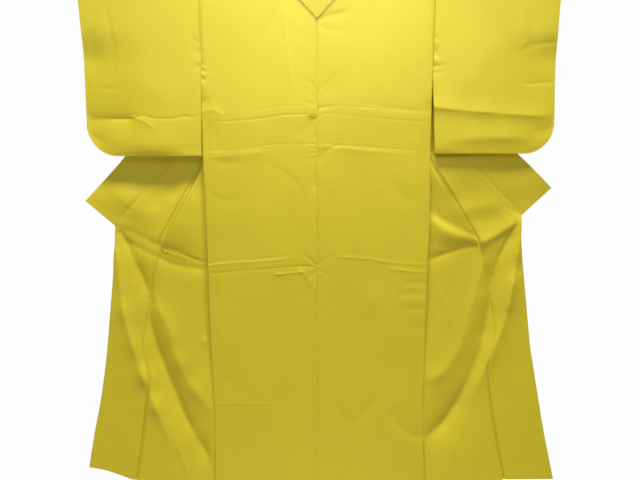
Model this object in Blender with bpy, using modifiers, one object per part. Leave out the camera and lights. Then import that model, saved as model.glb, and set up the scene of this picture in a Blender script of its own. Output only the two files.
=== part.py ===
"""A woman's kimono of plain silk, hanging flat on a round rod with a wire hook.

The back is towards -Y. Both fronts are drawn out to the sides behind it, so their outer faces show
past the back panels. The origin is the inner crown of the hook, Z is up, and left is at -X.
Drops are measured down from the shoulder fold. Every piece of cloth is cut and sewn as the real one:
two body lengths, each a back and a front that meet at the shoulder fold, two front overlap panels,
two sleeves and one long wide collar.
"""

import math

import bmesh
import bpy
import numpy as np

CM = 0.01
MM = 0.001

WALL = 1.5 * MM
SEAM_GAP = 0.3 * MM
SHOULDER_GAP = 0.6 * MM  # between back and front, along the shoulder fold
SIDE_SEAM_STEP = 3.3 * MM  # how far behind the back's edge the front starts, at the side seam
ROD_RADIUS = 12.5 * MM
ROD_LENGTH = 1.40
ROD_DROP = 85 * MM  # from the hook's inner crown to the middle of the rod
HOOK_WIRE = 2.5 * MM  # radius of the wire
HOOK_RADIUS = 18 * MM  # inside radius of the crown
CLOTH_ON_ROD = ROD_RADIUS + 0.5 * MM + WALL  # outside of the cloth, from the middle of the rod
SHOULDER_Z = -ROD_DROP + CLOTH_ON_ROD
HANG_HALF = 9.5 * MM  # half the depth between the two layers, well below the rod
HANG_FALL = 0.10  # over this drop most of the rod's width has gone

NECK_HALF = 8.7 * CM
NECK_SCOOP = 2.8 * CM
BACK_DROP = 1.46
ARMHOLE_END = 0.36  # the body's side is open down to here
SLEEVE_DROP = 0.48
SLEEVE_CORNER = 7.0 * CM
CUFF_OPENING = 0.23
OVERLAP_TOP = 0.24  # where the overlap panel starts, on the collar seam
ROLL_CLEARANCE = 0.7 * MM  # between body and collar where both turn over at the neck
COLLAR_END_DEPTH = 21 * MM  # how far behind the middle plane the collar's corner is drawn
PLEAT_ROUND = 2.6 * MM  # half the depth of a turned fold
PLEAT_FULL = 2.5  # cm, the narrowest pleat with a fold as round as that
PLEAT_CLOSES = 60  # cm of drop, below which it gets narrower

BODY_COLUMNS = 14
OVERLAP_COLUMNS = 7
LAPEL_TURNS = (1.4, 3)  # cm of drop over which the front's inner strip turns behind it
PLEAT_STARTS = (35, 50)  # cm, where the body's side comes together and its pleat begins
PLEAT_OPENS = {"left": (74.5, 79.5), "right": (72.5, 77.5)}  # cm, where the pleat opens into the skirt
ARC_DROPS = (0.0, 0.19, 0.72, 1.45)  # cm, down a quarter of the rod
SHOULDER_EDGE = 0.008  # cm, one more row close to the fold, so that the wall ends square there
NECK_DROPS = (0.0, 0.19, 0.72, 1.45, 2.03, 2.6, 2.8)  # cm, down the curve of the back neckline
BACK_DROPS = (6, 12, 21, 29, 36, 41, 48, 56, 64, 72, 80, 88, 98, 110, 122, 134, 146)
FRONT_DROPS = (
    3, 6, 12, 17, 21, 24, 24.6, 30, 36, 40, 44, 48, 52, 56, 71, 74, 77, 80.5,
    85, 90, 95, 100, 106, 112, 118, 124, 131, 138, 146,
)  # fmt: skip
NEAR_CORNER = (-8, -4, 0, 3)  # more rows of the front, measured from the collar's end


class Table:
    """Named columns over the drop, read between its rows along a smooth curve that doesn't overshoot."""

    def __init__(self, names, *rows):
        self.names = names.split()
        self.rows = np.array(rows, dtype=float)

    def read(self, name, drop):
        at = self.rows[:, 0]
        value = self.rows[:, self.names.index(name)]
        step = np.diff(at)
        slope = np.diff(value) / step
        bend = np.zeros_like(value)
        flat = slope[1:] * slope[:-1] <= 0
        mean = 2 * slope[1:] * slope[:-1] / np.where(flat, 1.0, slope[1:] + slope[:-1])
        bend[1:-1] = np.where(flat, 0.0, mean)
        bend[0], bend[-1] = slope[0], slope[-1]
        drop = np.clip(drop, at[0], at[-1])
        i = np.clip(np.searchsorted(at, drop) - 1, 0, len(at) - 2)
        t = (drop - at[i]) / step[i]
        ease = t * t * (3 - 2 * t)
        start = t * (1 - t) ** 2 * bend[i] * step[i]
        end = t * t * (t - 1) * bend[i + 1] * step[i]
        return value[i] * (1 - ease) + value[i + 1] * ease + start + end


# Where the folded body lies, for each side. Widths from the centre and drops are in cm, depths in mm,
# positive away from the back: the side seam, the fold that the back panel hides (groove), the outer
# edge of the pleat (lip), its hidden inner fold (tuck), the overlap panel's seam, its outer edge below
# the collar, and how low the hem is there.
LAYOUT = {
    "left": Table(
        "drop side seam_y groove groove_y lip lip_y tuck tuck_y panel panel_y edge edge_y",
        (0, 32.3, 0, 26, 9, 20, 9, 9.2, 10, 8.7, 10, 10, 20),
        (1.45, 32.3, 0, 26, 9, 20, 9, 9.2, 13, 9.0, 14, 11, 20),
        (3, 32.2, 0, 26, 9, 20, 9, 9.2, 16.5, 9.7, 19, 12, 20),
        (6, 32.2, 0, 26, 9, 20, 9, 9.6, 16.5, 10.8, 19, 14, 20),
        (12, 32.0, 0, 27, 9, 21, 9, 10.7, 15, 12.9, 18, 16, 19),
        (24, 31.7, -8, 28, 9, 24, 9, 12.7, 13.5, 17.0, 16.5, 18, 18),
        (36, 31.8, -6, 29, 6, 27, 8, 15.9, 12.5, 24.1, 16, 28, 18),
        (46, 31.8, -6, 29.5, 4, 30.2, 6, 18.6, 12, 30.0, 16, 38, 18),
        (52, 31.6, -7, 29.8, 3, 32.4, 4.5, 21.2, 12, 33.6, 16, 44, 18),
        (60, 31.3, -7, 29.8, 3, 36.6, 5, 30.0, 12, 38.2, 15.5, 50, 18),
        (68, 31.1, -7, 29.5, 3, 41.0, 6, 36.6, 12, 42.6, 15, 57.6, 19),
        (73, 31.0, -7, 29.0, 3, 43.9, 10, 42.3, 12.5, 45.1, 14, 57.8, 19),
        (76, 30.9, -7, 28.0, 3, 45.0, 13, 44.9, 13, 45.3, 13, 58.1, 18),
        (82, 30.8, -7, 28.2, 3, 46.2, 12.5, 46.2, 12.5, 46.8, 12.5, 58.5, 17),
        (90, 30.7, -7, 28.4, 4, 47.8, 12, 47.8, 12, 48.4, 12, 59.3, 16),
        (99, 30.5, -7, 28.7, 3, 49.2, 11.5, 49.2, 11.5, 49.8, 11.5, 60.2, 15),
        (105, 30.3, -7, 28.9, 3, 50.1, 11, 50.1, 11, 50.7, 11, 60.8, 14),
        (114, 29.9, -7, 28.9, 1, 48.4, 10, 48.4, 10, 49.0, 10, 61.9, 13),
        (124, 29.7, -7, 29.3, -2, 49.8, 9, 49.8, 9, 50.4, 9, 63.4, 12),
        (135, 29.8, -7, 30.2, -3, 51.3, 7.5, 51.3, 7.5, 51.9, 7.5, 65.5, 11),
        (146, 29.9, -7, 31.2, -4, 53.0, 6, 53.0, 6, 53.6, 6, 67.4, 10),
    ),
    "right": Table(
        "drop side seam_y groove groove_y lip lip_y tuck tuck_y panel panel_y edge edge_y",
        (0, 32.2, 0, 26, 9, 20, 9, 9.2, 10, 8.7, 10, 10, 20),
        (1.45, 32.2, 0, 26, 9, 20, 9, 9.2, 13, 9.0, 14, 11, 20),
        (3, 32.2, 0, 26, 9, 20, 9, 9.2, 16.5, 9.7, 19, 12, 20),
        (6, 32.1, 0, 26, 9, 20, 9, 9.6, 16.5, 10.8, 19, 14, 20),
        (12, 32.0, 0, 27, 9, 21, 9, 10.7, 15, 12.9, 18, 16, 19),
        (24, 31.8, -8, 28, 9, 24, 9, 12.7, 13.5, 17.0, 16.5, 18, 18),
        (36, 31.5, -6, 29, 6, 27, 8, 15.9, 12.5, 24.3, 16, 28, 18),
        (46, 31.3, -6, 29.5, 4, 30.0, 6, 18.6, 12, 30.2, 16, 38, 18),
        (52, 31.5, -7, 29.6, 3, 32.6, 4.5, 21.4, 12, 33.7, 16, 44, 18),
        (60, 31.6, -7, 29.8, 3, 37.6, 5, 31.2, 12, 38.8, 15.5, 50, 18),
        (65.2, 31.6, -7, 29.6, 3, 40.9, 6, 35.8, 12, 42.0, 15, 58.2, 19),
        (71, 31.5, -7, 29.2, 3, 44.3, 9, 42.6, 12, 45.4, 14, 58.1, 19),
        (74, 31.4, -7, 28.8, 3, 46.3, 13, 46.2, 13, 46.7, 13, 58.3, 18),
        (81, 31.2, -7, 28.9, 3, 47.7, 12.5, 47.7, 12.5, 48.3, 12.5, 59.1, 17),
        (88, 31.1, -7, 29.2, 3, 49.1, 12, 49.1, 12, 49.7, 12, 59.9, 16),
        (99, 30.9, -7, 29.8, 2, 50.7, 11, 50.7, 11, 51.3, 11, 61.2, 14),
        (105, 30.85, -7, 29.7, 1, 50.2, 10.5, 50.2, 10.5, 50.8, 10.5, 61.9, 13.5),
        (110.5, 30.8, -7, 29.6, 0, 49.1, 10, 49.1, 10, 49.7, 10, 62.9, 13),
        (118, 30.6, -7, 29.8, -2, 49.8, 9, 49.8, 9, 50.4, 9, 64.2, 12),
        (132, 31.0, -7, 31.3, -3, 52.0, 7.5, 52.0, 7.5, 52.6, 7.5, 66.8, 11),
        (146, 31.4, -7, 32.8, -4, 54.8, 6, 54.8, 6, 55.4, 6, 69.9, 10),
    ),
}
CORNER = {"left": (57.7, 68.1), "right": (58.2, 65.2)}  # cm, the collar's end on the front edge
COLLAR_TIP = {"left": (65.9, 61.1), "right": (66.4, 57.4)}  # cm
HEM = {
    "left": Table("x hem", (0, 146), (30, 146), (42, 145.2), (53, 143.4), (61, 141.5), (69, 139.9)),
    "right": Table("x hem", (0, 146), (31, 145.6), (43, 144.2), (54, 143.2), (62, 143.4), (71, 143.4)),
}
# The sleeve's distance from the body's side and its outer edge, in cm.
SLEEVE = {
    "left": Table("drop clear outer", (0, 0, 65.3), (21, 0, 64.4), (36, 0.3, 63.4), (48, 0.3, 62.6)),
    "right": Table("drop clear outer", (0, 0, 66.3), (21, 0, 65.9), (36, 1.0, 65.4), (48, 1.5, 64.9)),
}

# The large folds: a curve through three places (cm from the centre, cm of drop), the half width of
# the fold in cm, and its height in mm, positive towards the back.
FOLD_COLUMNS = "x0 drop0 x1 drop1 x2 drop2 half height".split()
FOLDS = {
    "left": (
        (57.5, 68.2, 45.9, 73.3, 29.0, 78.8, 1.5, -2.5),
        (48.9, 90.5, 43.5, 112.0, 29.0, 140.0, 2.6, -7.0),
        (46.8, 82.0, 42.5, 100.5, 27.0, 123.5, 2.2, 4.0),
        (57.6, 68.6, 56.0, 92.0, 50.1, 114.7, 2.2, 5.0),
        (56.8, 68.6, 52.2, 78.3, 48.2, 92.0, 1.8, -4.0),
    ),
    "right": (
        (50.4, 83.0, 47.6, 103.0, 29.0, 131.0, 2.8, -8.0),
        (48.0, 74.0, 43.4, 96.7, 28.0, 113.0, 2.4, 4.0),
        (58.2, 65.5, 56.0, 84.0, 49.5, 105.0, 2.2, 6.0),
        (57.9, 65.6, 53.6, 73.3, 50.2, 89.0, 1.8, -4.0),
        (58.4, 65.4, 52.6, 69.9, 45.5, 73.4, 1.8, 5.0),
        (29.5, 62.3, 38.0, 67.7, 46.0, 72.3, 1.9, -4.5),
    ),
}

# The collar from the shoulder to the middle of the back, in cm and mm as above, by the drop of its
# seam: how high it stands before it turns over, and its free edge.
COLLAR_BACK = Table(
    "drop rise free free_y free_drop",
    (0, 1.0, 12.6, -6.0, -0.6),
    (0.19, 1.0, 12.2, -12.0, -0.3),
    (0.72, 1.1, 11.0, -16.2, 0.5),
    (1.45, 1.1, 9.2, -17.0, 2.0),
    (2.03, 1.1, 7.2, -17.2, 3.9),
    (2.6, 1.0, 3.9, -16.9, 7.2),
    (2.8, 0.9, 0.0, -16.6, 11.3),
)
# The same from the shoulder to the top of the overlap panel, with the free edge behind the body, and
# how far the seam is rolled back behind the body's edge, in mm.
COLLAR_FRONT = Table(
    "drop rise free free_y free_drop roll",
    (0, 1.0, 12.6, -6.0, -0.6, 0),
    (0.72, 1.0, 13.4, 7.0, -0.7, 0.6),
    (1.45, 0.8, 14.6, 12.0, -0.4, 2.2),
    (3, 0.5, 16.0, 19.0, 0.9, 0.3),
    (6, 0.3, 18.0, 21.0, 3.0, 0),
    (12, 0.2, 21.3, 20.5, 8.0, 0),
    (24, 0.0, 25.6, 19.0, 17.6, 0),
)


def front_drops(side):
    """The drops of the front's rows, in cm, with one row through the collar's end."""
    near = [CORNER[side][1] + step for step in NEAR_CORNER]
    clear = [drop for drop in FRONT_DROPS if min(abs(drop - other) for other in near) > 2]
    return sorted(clear + near)


def hang(drop):
    """Distance of a layer's outer face from the middle plane, for a drop in metres."""
    drop = np.asarray(drop, dtype=float)
    around = np.sqrt(np.maximum(CLOTH_ON_ROD**2 - (CLOTH_ON_ROD - drop) ** 2, 0))
    below = HANG_HALF + (CLOTH_ON_ROD - HANG_HALF) * np.exp(-(drop - CLOTH_ON_ROD) / HANG_FALL)
    return np.where(drop < CLOTH_ON_ROD, around, below)


def ramp(value, start, end):
    t = np.clip((value - start) / (end - start), 0, 1)
    return t * t * (3 - 2 * t)


def lift(side, x, drop):
    """How far the large folds stand out towards the back, in mm, at places in cm."""
    total = np.zeros_like(x)
    t = np.linspace(0, 1, 33)
    for row in FOLDS[side]:
        fold = dict(zip(FOLD_COLUMNS, row))
        bend_x = 2 * fold["x1"] - (fold["x0"] + fold["x2"]) / 2
        bend_drop = 2 * fold["drop1"] - (fold["drop0"] + fold["drop2"]) / 2
        curve_x = (1 - t) ** 2 * fold["x0"] + 2 * t * (1 - t) * bend_x + t * t * fold["x2"]
        curve_drop = (1 - t) ** 2 * fold["drop0"] + 2 * t * (1 - t) * bend_drop + t * t * fold["drop2"]
        away = (x[..., None] - curve_x) ** 2 + (drop[..., None] - curve_drop) ** 2
        nearest = away.argmin(axis=-1)
        ends = ramp(t, 0.0, 0.22) * (1 - ramp(t, 0.8, 1.0))
        total += fold["height"] * np.exp(-away.min(axis=-1) / fold["half"] ** 2) * ends[nearest]
    return total


def lowered(side, x, drop):
    """The drop of a place, brought to the hem's own line near the bottom."""
    hem = HEM[side].read("hem", x)
    return drop + (hem - BACK_DROP / CM) * ramp(drop, 72, 146)


def collar_seam_x(side, drop):
    """The collar's seam on the overlap panel is a straight line from its top to the corner."""
    top_x = LAYOUT[side].read("panel", OVERLAP_TOP / CM)
    corner_x, corner_drop = CORNER[side]
    return top_x + (corner_x - top_x) * (drop - OVERLAP_TOP / CM) / (corner_drop - OVERLAP_TOP / CM)


def back_row(side, drop):
    """A row across the back, from the side to the centre seam or the neckline: x, y, drop in cm."""
    neckline = NECK_HALF * math.sqrt(max(1 - (drop * CM / NECK_SCOOP) ** 2, 0))
    inner = max(neckline, SEAM_GAP / 2) / CM
    outer = float(LAYOUT[side].read("side", drop))
    share = np.linspace(0, 1, BODY_COLUMNS)
    x = outer + (inner - outer) * share
    y = np.full(BODY_COLUMNS, -float(hang(drop * CM)) / CM)
    seam_y = float(LAYOUT[side].read("seam_y", drop)) / 10
    below_armhole = ramp(drop, 30, ARMHOLE_END / CM)
    y += below_armhole * (seam_y - y) * (1 - ramp(share, 0, 0.12))
    return np.stack([x, y, np.full(BODY_COLUMNS, float(drop))], axis=1)


def front_row(side, drop):
    """A row across the front, from the side through the pleat to the overlap panel's seam, in cm."""
    at = {name: float(LAYOUT[side].read(name, drop)) for name in LAYOUT[side].names[1:]}
    depth = float(hang(drop * CM)) / CM
    roll = PLEAT_ROUND / CM
    if drop > PLEAT_CLOSES:
        roll *= min(max((at["lip"] - at["tuck"]) / PLEAT_FULL, 0), 1)
    for name in ("seam_y", "groove_y", "lip_y", "tuck_y", "panel_y"):
        at[name] /= 10
    at["panel"] -= SEAM_GAP / 2 / CM
    nose = min(0.35, 0.4 * abs(at["panel"] - at["tuck"]))
    end = (at["panel"], at["panel_y"])
    tuck = [
        (at["tuck"] + nose, at["tuck_y"] - roll),
        (at["tuck"], at["tuck_y"]),
        (at["tuck"] + nose, at["tuck_y"] + roll),
    ]
    to_end = ((tuck[2][0] + at["panel"]) / 2, (tuck[2][1] + at["panel_y"]) / 2)

    even_x = np.linspace(at["side"], at["panel"], BODY_COLUMNS)
    plain = np.stack([even_x, np.full(BODY_COLUMNS, depth)], axis=1)

    flat_columns = BODY_COLUMNS - 5
    upper_x = np.linspace(at["side"], tuck[0][0], flat_columns + 1)[:-1]
    upper = np.vstack([np.stack([upper_x, np.full(flat_columns, depth)], axis=1), tuck, [to_end], [end]])

    start = (at["side"], at["seam_y"] + SIDE_SEAM_STEP / CM)
    turn = (at["side"] - 0.25 * (at["side"] - at["groove"]), at["groove_y"] * 0.2)
    groove = (at["groove"], at["groove_y"])
    lip = [
        (at["lip"] - nose, at["lip_y"] - roll),
        (at["lip"], at["lip_y"]),
        (at["lip"] - nose, at["lip_y"] + roll),
    ]
    third = (np.array(lip[0]) - groove) / 3
    mid = (np.array(lip[2]) + tuck[0]) / 2
    pleat = np.vstack([[start], [turn], [groove], [groove + third], [groove + 2 * third]])
    pleat = np.vstack([pleat, lip, [mid], tuck, [to_end], [end]])

    spread = np.linspace(0, 1, BODY_COLUMNS - 2)[:, None]
    rise = ramp(spread, -0.1, 0.75)
    skirt = np.hstack([
        groove[0] + (end[0] - groove[0]) * spread,
        groove[1] + (end[1] - groove[1]) * rise,
    ])
    skirt = np.vstack([[start], [turn], skirt])

    row = plain + (upper - plain) * ramp(drop, *LAPEL_TURNS)
    row = row + (pleat - row) * ramp(drop, *PLEAT_STARTS)
    row = row + (skirt - row) * ramp(drop, *PLEAT_OPENS[side])
    x, y = row[:, 0], row[:, 1]
    full = np.full(BODY_COLUMNS, float(drop))
    column = np.arange(BODY_COLUMNS)
    past_tuck = ramp(column, BODY_COLUMNS - 3.5, BODY_COLUMNS - 2)
    past_groove = ramp(column, 1.5, 4) * ramp(drop, *PLEAT_OPENS[side])
    y = y - lift(side, x, full) / 10 * np.maximum(past_tuck, past_groove)
    return np.stack([x, y, lowered(side, x, full)], axis=1)


def overlap_row(side, drop):
    """A row across the overlap panel, from its seam to the collar or the front edge, in cm."""
    layout = LAYOUT[side]
    inner = float(layout.read("panel", drop)) + SEAM_GAP / 2 / CM
    outer = float(collar_seam_x(side, drop) if drop <= CORNER[side][1] else layout.read("edge", drop))
    share = np.linspace(0, 1, OVERLAP_COLUMNS)
    x = inner + (outer - inner) * share
    inner_y, outer_y = (float(layout.read(name, drop)) / 10 for name in ("panel_y", "edge_y"))
    full = np.full(OVERLAP_COLUMNS, float(drop))
    y = inner_y + (outer_y - inner_y) * ramp(share, -0.3, 1.2) - lift(side, x, full) / 10
    return np.stack([x, y, lowered(side, x, full)], axis=1)


def placed(side, rows):
    """Rows of x, y and drop in cm, as points in metres."""
    grid = np.array(rows) * CM
    sign = -1 if side == "left" else 1
    return np.stack([sign * grid[..., 0], grid[..., 1], SHOULDER_Z - grid[..., 2]], axis=-1)


def material(name, colour, roughness, metallic=0.0):
    made = bpy.data.materials.new(name)
    made.use_nodes = True
    shader = made.node_tree.nodes["Principled BSDF"]
    shader.inputs["Base Color"].default_value = (*colour, 1)
    shader.inputs["Roughness"].default_value = roughness
    shader.inputs["Metallic"].default_value = metallic
    return made


def cloth(name, points, finish, flip, closed=False):
    """A loft through rows of points, with the outer face on the side of its normals, given its wall."""
    rows, columns = points.shape[:2]
    mesh = bmesh.new()
    verts = [[mesh.verts.new(place) for place in row] for row in points]
    for i in range(rows if closed else rows - 1):
        here, after = verts[i], verts[(i + 1) % rows]
        for j in range(columns - 1):
            corners = (here[j], after[j], after[j + 1], here[j + 1])
            mesh.faces.new(corners[::-1] if flip else corners)
    data = bpy.data.meshes.new(name)
    mesh.to_mesh(data)
    mesh.free()
    data.materials.append(finish)
    data.shade_smooth()
    made = bpy.data.objects.new(name, data)
    kimono.objects.link(made)
    wall = made.modifiers.new("wall", "SOLIDIFY")
    wall.thickness = WALL
    wall.offset = -1
    return made


def back(side):
    """The body length from its hem up to the shoulder fold."""
    drops = sorted(NECK_DROPS + BACK_DROPS + (SHOULDER_EDGE,), reverse=True)
    rows = [back_row(side, drop) for drop in drops]
    rows[-1][:, 1] -= SHOULDER_GAP / 2 / CM
    cloth(f"back_{side}", placed(side, rows), silk, flip=side == "left")


def front(side):
    """The same length from the shoulder fold down to the front hem."""
    rows = [front_row(side, drop) for drop in sorted(ARC_DROPS + (SHOULDER_EDGE,)) + front_drops(side)]
    rows[0][:, 1] += SHOULDER_GAP / 2 / CM
    cloth(f"front_{side}", placed(side, rows), silk, flip=side == "left")


def overlap(side):
    rows = [overlap_row(side, drop) for drop in front_drops(side) if drop > OVERLAP_TOP / CM]
    cloth(f"overlap_{side}", placed(side, rows), silk, flip=side == "left")


def sleeve(side):
    """A flat tube, open at the body and at the cuff, sewn shut below the cuff and along the bottom."""
    table, layout = SLEEVE[side], LAYOUT[side]
    gap = SEAM_GAP / CM
    stations = (0, 0.12, 0.26, 0.41, 0.55, 0.68, 0.79, 0.87, 0.93, 0.975, 1)
    drops = ARC_DROPS[1:] + (3, 6, 12, 17, 21, 24, 27.5, 31.5, 35.5, 39, 42, 44.5, 46.3, 47.6)
    half_turn = [(-1, drop) for drop in reversed(drops)] + [(0, 0.0)] + [(1, drop) for drop in drops]
    ring = half_turn + [(0, SLEEVE_DROP / CM)]
    corner = SLEEVE_CORNER / CM
    shut = (WALL + SEAM_GAP / 2) / CM
    rows = []
    for layer, level in ring:
        row = []
        for station in stations:
            width = float(table.read("outer", level) - layout.read("side", level))
            to_edge = (1 - station) * width
            cut = corner - math.sqrt(max(corner**2 - max(corner - to_edge, 0) ** 2, 0))
            bottom = SLEEVE_DROP / CM - cut
            drop = level if level < 15 else 15 + (level - 15) * (bottom - 15) / (SLEEVE_DROP / CM - 15)
            inner = float(layout.read("side", drop) + table.read("clear", drop)) + gap
            x = inner + (float(table.read("outer", drop)) - inner) * station
            half = float(hang(drop * CM)) / CM
            closing = ramp(drop, CUFF_OPENING / CM - 9, CUFF_OPENING / CM) * ramp(station, 0.45, 1)
            half += (shut - half) * closing
            fold = math.sqrt(max(1 - max(1 - (bottom - drop) / 5, 0) ** 2, 0))
            half = max(half * fold, shut) if layer else 0
            row.append((x, layer * half, drop))
        rows.append(row)
    cloth(f"sleeve_{side}", placed(side, rows), silk, flip=side == "right", closed=True)


def collar_station(seam, rise, free):
    """One section of the collar: up from its seam, over, and out to its free edge, in cm."""
    seam, free = np.array(seam), np.array(free)
    share = np.array([0, 0.06, 0.14, 0.3, 0.53, 0.77, 1.0])
    stand = np.array([0, 0.75, 1.0, 0.7, 0.3, 0.08, 0])
    points = seam + (free - seam) * share[:, None]
    points[:, 2] -= rise * stand
    return points


def beside(row, gap):
    """The place one seam gap past the end of a row, in the direction that the row ends in."""
    way = row[-1] - row[-2]
    return row[-1] + way / np.linalg.norm(way) * gap


def collar_half(side):
    """The collar's sections from the middle of the back to its end on the front edge."""
    gap = SEAM_GAP / CM
    top, (corner_x, corner_drop) = OVERLAP_TOP / CM, CORNER[side]

    def free_edge(table, drop):
        free, free_y, free_drop = (float(table.read(name, drop)) for name in table.names[2:5])
        return np.array([free, free_y / 10, free_drop])

    rows = []
    for drop in sorted(NECK_DROPS[1:], reverse=True):
        seam = back_row(side, drop)[-1]
        up = NECK_HALF / CM * ramp(drop, 0.0, NECK_SCOOP / CM)
        away = np.array([up - NECK_HALF / CM, 0, -up])
        rise = float(COLLAR_BACK.read("rise", drop))
        seam = seam + away / np.linalg.norm(away) * gap
        rows.append(collar_station(seam, rise, free_edge(COLLAR_BACK, drop)))
    front = [drop for drop in list(ARC_DROPS) + front_drops(side) if drop <= top]
    for drop in front:
        rise = float(COLLAR_FRONT.read("rise", drop))
        seam = beside(front_row(side, drop), ROLL_CLEARANCE / CM)
        seam[1] += float(COLLAR_FRONT.read("roll", drop)) / 10
        rows.append(collar_station(seam, rise, free_edge(COLLAR_FRONT, drop)))
    start = free_edge(COLLAR_FRONT, top)
    tip_x, tip_drop = COLLAR_TIP[side]
    end = np.array([tip_x, COLLAR_END_DEPTH / CM, tip_drop])
    for drop in [drop for drop in front_drops(side) if top < drop <= corner_drop]:
        share = (drop - top) / (corner_drop - top)
        seam = beside(overlap_row(side, drop), gap)
        rows.append(collar_station(seam, 0, start + (end - start) * share))
    return placed(side, rows)


def collar():
    left, right = collar_half("left"), collar_half("right")
    left[0, :, 0] = right[0, :, 0] = 0
    cloth("collar", np.concatenate([left[:0:-1], right]), silk, flip=False)


def rod():
    bpy.ops.mesh.primitive_cylinder_add(
        vertices=32,
        radius=ROD_RADIUS,
        depth=ROD_LENGTH,
        location=(0, 0, -ROD_DROP),
        rotation=(0, math.pi / 2, 0),
    )
    made = bpy.context.object
    made.name = "rod"
    bpy.ops.object.transform_apply(location=False, rotation=True, scale=False)
    rounding = made.modifiers.new("rounded ends", "BEVEL")
    rounding.width = 3 * MM
    rounding.segments = 2
    made.data.materials.append(wood)
    made.data.shade_smooth()
    made.data.set_sharp_from_angle(angle=math.radians(35))
    for holder in list(made.users_collection):
        holder.objects.unlink(made)
    kimono.objects.link(made)


def hook():
    """A question mark of wire: its stem stands on the rod, under the middle of the crown."""
    wire_radius = HOOK_RADIUS + HOOK_WIRE
    centre_z = -HOOK_RADIUS
    foot_z = -ROD_DROP + ROD_RADIUS + SEAM_GAP
    points = [(0, foot_z), (0, foot_z + 8 * MM), (0, centre_z - wire_radius - 10 * MM)]
    for degrees in range(-112, -360, -13):
        turn = math.radians(degrees)
        points.append((wire_radius * math.cos(turn), centre_z + wire_radius * math.sin(turn)))
    points.append((wire_radius + 1 * MM, centre_z - 5 * MM))
    curve = bpy.data.curves.new("hook", "CURVE")
    curve.dimensions = "3D"
    curve.bevel_depth = HOOK_WIRE
    curve.bevel_resolution = 2
    curve.use_fill_caps = True
    line = curve.splines.new("POLY")
    line.points.add(len(points) - 1)
    for point, (x, z) in zip(line.points, points):
        point.co = (x, 0, z, 1)
    curve.materials.append(steel)
    kimono.objects.link(bpy.data.objects.new("hook", curve))


for old in list(bpy.data.objects):
    bpy.data.objects.remove(old, do_unlink=True)
kimono = bpy.data.collections.new("kimono")
bpy.context.scene.collection.children.link(kimono)

silk = material("silk", (0.60, 0.50, 0.035), 0.42)
wood = material("rod_wood", (0.62, 0.47, 0.30), 0.5)
steel = material("hook_steel", (0.62, 0.62, 0.60), 0.3, metallic=1.0)

for each_side in ("left", "right"):
    back(each_side)
    front(each_side)
    overlap(each_side)
    sleeve(each_side)
collar()
rod()
hook()
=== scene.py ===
import math

import bmesh
import bpy
import mathutils
import numpy as np
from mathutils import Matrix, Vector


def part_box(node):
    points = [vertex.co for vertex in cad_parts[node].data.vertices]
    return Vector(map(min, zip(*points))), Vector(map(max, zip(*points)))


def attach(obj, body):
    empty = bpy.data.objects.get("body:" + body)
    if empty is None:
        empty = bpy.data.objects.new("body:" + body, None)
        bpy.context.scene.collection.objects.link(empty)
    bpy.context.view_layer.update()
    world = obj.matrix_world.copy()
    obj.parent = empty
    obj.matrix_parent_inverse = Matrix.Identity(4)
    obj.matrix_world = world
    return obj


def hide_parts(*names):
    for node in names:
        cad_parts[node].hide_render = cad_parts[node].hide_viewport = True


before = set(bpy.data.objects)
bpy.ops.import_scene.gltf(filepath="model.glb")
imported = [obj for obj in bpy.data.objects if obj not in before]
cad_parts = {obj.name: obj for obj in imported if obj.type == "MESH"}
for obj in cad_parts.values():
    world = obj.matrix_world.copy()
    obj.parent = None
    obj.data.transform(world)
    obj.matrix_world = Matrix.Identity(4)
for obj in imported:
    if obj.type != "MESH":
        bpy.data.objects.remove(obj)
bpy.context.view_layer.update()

# The viewpoint. The kimono is seen square on from its back, a little above its middle, from about
# two metres, so that the neckline runs past the top of the view and the hem ends at the bottom.
EYE = (0.0084, -1.93, -0.571)
LOOKS_DOWN = 6.5  # degrees
WIDE = 50  # degrees across the view


def in_scene(name, data):
    """A new object of the scene, at its origin."""
    made = bpy.data.objects.new(name, data)
    bpy.context.scene.collection.objects.link(made)
    return made


view_data = bpy.data.cameras.new("viewpoint")
view_data.lens = view_data.sensor_width / 2 / math.tan(math.radians(WIDE) / 2)
viewpoint = in_scene("viewpoint", view_data)
viewpoint.location = EYE
viewpoint.rotation_euler = (math.radians(90 - LOOKS_DOWN), 0, 0)
bpy.context.scene.camera = viewpoint

# The two body lengths. Each is one width of plain silk that runs from the back hem up over the
# shoulder and down to the front hem, sewn to the other along the centre back. Below the armhole
# back and front are sewn together, and the front is drawn out sideways in one deep standing pleat.
CM = 0.01
MM = 0.001
SILK_WALL = 1.1 * MM
SIDES = ("left", "right")

# The cloth's places are worked out in cm: out from the centre, away from the back that shows and down
# from the shoulder. What its relief adds to them is in mm.
SEAM_GAP = 0.03
HANG_HALF = 0.95  # half the depth between back and front, well below the rod
HANG_FALL = 10  # over this drop most of the rod's width has gone
NECK_HALF = 8.7
NECK_SCOOP = 2.8
BACK_DROP = 146
PLEAT_ROUND = 0.26  # half the depth of a turned fold
PLEAT_NOSE = 0.35  # how far a turned fold takes to reach that depth
SIDE_SEAM_STEP = 0.13  # how far behind the back's edge the front starts, at the side seam
SIDE_SEAM_STARTS = (30, 36)  # below the armhole
SIDE_SEAM_REACH = (0, 0.12)  # share of the back's width over which it comes to that seam
LAPEL_TURNS = (1.4, 3)  # where the front's inner strip turns behind it
PLEAT_STARTS = (35, 50)  # where the body's side comes together and its pleat begins
PLEAT_OPENS = {"left": (74.5, 79.5), "right": (72.5, 77.5)}  # where the pleat opens into the skirt
PLEAT_CLOSES = 60  # from where on the pleat narrows
PLEAT_FULL = 2.5  # wide, where its turned edges are still fully round
GROOVE_TURN = (0.25, 0.2)  # shares of the groove's way in and of its depth, beside the side seam
SKIRT_SWELL = (-0.1, 0.75)  # shares of the skirt's width between which its depth changes
HEM_DRAWN_FROM = 72
BODY_SPANS = 13
SPAN_STEPS = 6  # columns of the mesh in each span of a row
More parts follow.
